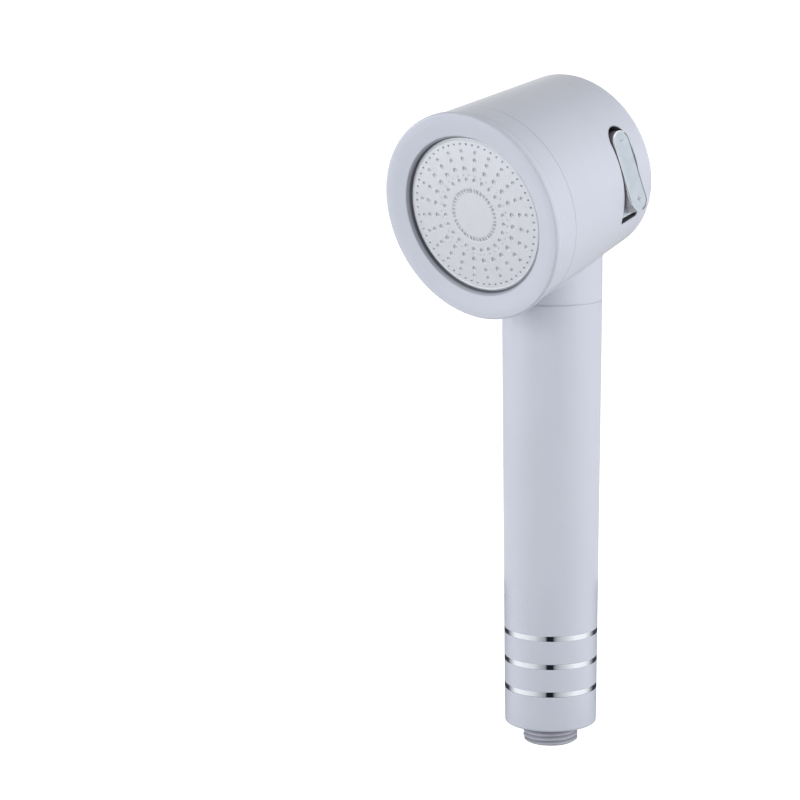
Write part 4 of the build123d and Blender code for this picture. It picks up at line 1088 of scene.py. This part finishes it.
# %% [markdown]
# The pressed dimples of the spray plate show only when they reflect something darker
# than the rest of the plate does. A grey card on the floor before the handle does that,
# again for reflections alone.

# %% Floor card
FLOOR_CARD_R = np.array((0.0, 0.04, 0.08, 0.12, 0.16, 0.20, 0.24))
FLOOR_CARD_TONE = (0.12, 0.12, 0.12, 0.14, 0.35, 0.75, 1.0)


def floor_card(bearing=-5.0, distance=0.09, sides=64):
    """Disc D(r, a) = M + r (cos a, sin a), whose brightness rises with r to the floor's."""
    disc = polar_grid(FLOOR_CARD_R[:, None], full_turn(sides), 0.0)
    grid = around(bearing, distance, 0.0004) + disc
    return glossy_card("floor_card", grid.reshape(-1, 3), grid_quads(len(grid), sides),
                       np.repeat(FLOOR_CARD_TONE, sides))


floor_card()

# %% [markdown]
# The dark side of each dimple needs the same. Behind the camera of a product studio it
# is dark, and polished things show it. A tall card with soft edges stands there, again
# for reflections alone.

# %% Dark card in front
FLAG_BEARINGS, FLAG_TONES = (-18, -8, 20, 32), (1.0, 0.03, 0.03, 1.0)
FLAG_HEIGHTS, FLAG_ENDS = (-38, -24, 44, 58), (1.0, 0.0, 0.0, 1.0)


def front_card(distance=0.30, step=2.0):
    """Part of a sphere about the head; its brightness is the greater of two soft steps."""
    across = np.arange(FLAG_BEARINGS[0], FLAG_BEARINGS[-1] + 0.1, step)
    up = np.arange(FLAG_HEIGHTS[0], FLAG_HEIGHTS[-1] + 0.1, step)
    bearing, rise = np.meshgrid(CAMERA_BEARING + np.radians(across), np.radians(up))
    grid = polar_grid(np.cos(rise), bearing, np.sin(rise))
    tone = np.maximum(np.interp(across, FLAG_BEARINGS, FLAG_TONES)[None],
                      np.interp(up, FLAG_HEIGHTS, FLAG_ENDS)[:, None])
    quads = grid_quads(len(up), len(across))
    quads = quads[np.arange(len(quads)) % len(across) < len(across) - 1]
    verts = (HEAD_CENTRE * MM + distance * grid).reshape(-1, 3)
    return glossy_card("front_card", verts, quads, tone.ravel())


front_card()


# %% Lights
def transform(turn, place):
    """Matrix from the three directions of a thing, as columns, and its place."""
    return Matrix(np.vstack([np.column_stack([turn, place]), [0, 0, 0, 1]]).tolist())


def soft_light(name, place, target, size, power):
    """Square area light at place, aimed at target, all in metres."""
    data = bpy.data.lights.new(name, "AREA")
    data.size = size
    data.energy = power
    lamp = placed(name, data)
    lamp.visible_glossy = False
    away = (place - target) / np.linalg.norm(place - target)
    across = np.cross(Z_AXIS, away)
    across /= np.linalg.norm(across)
    lamp.matrix_world = transform(np.stack([across, np.cross(away, across), away], 1), place)


# name, then bearing, distance, height, height aimed at, size of the lamp, and its power
LAMPS = (("left_softbox", -71, 1.1, 0.30, 0.13, 0.6, 6.7),
         ("right_softbox", 66, 1.1, 0.36, 0.13, 0.6, 7.75),
         ("front_fill", -45, 0.42, 0.03, 0.15, 0.16, 0.1))
for name, bearing, distance, height, aim, size, power in LAMPS:
    soft_light(name, around(bearing, distance, height), aim * Z_AXIS, size, power)

# %% Camera: its right, its up and the way back from the object
VIEW_ROWS = np.array([[0.75991828, 0.64999627, -0.00539137],
                      [-0.1121846, 0.13931702, 0.98387265],
                      [0.64026465, -0.74705798, 0.17878912]])
FOCAL_MM, SENSOR_MM = 132.06, 36.0
lens = bpy.data.cameras.new("camera")
lens.lens, lens.sensor_width = FOCAL_MM, SENSOR_MM
camera = placed("camera", lens)
camera.matrix_world = transform(VIEW_ROWS.T, CAMERA_SPOT)
bpy.context.scene.camera = camera
bpy.context.scene.view_settings.view_transform = "Standard"
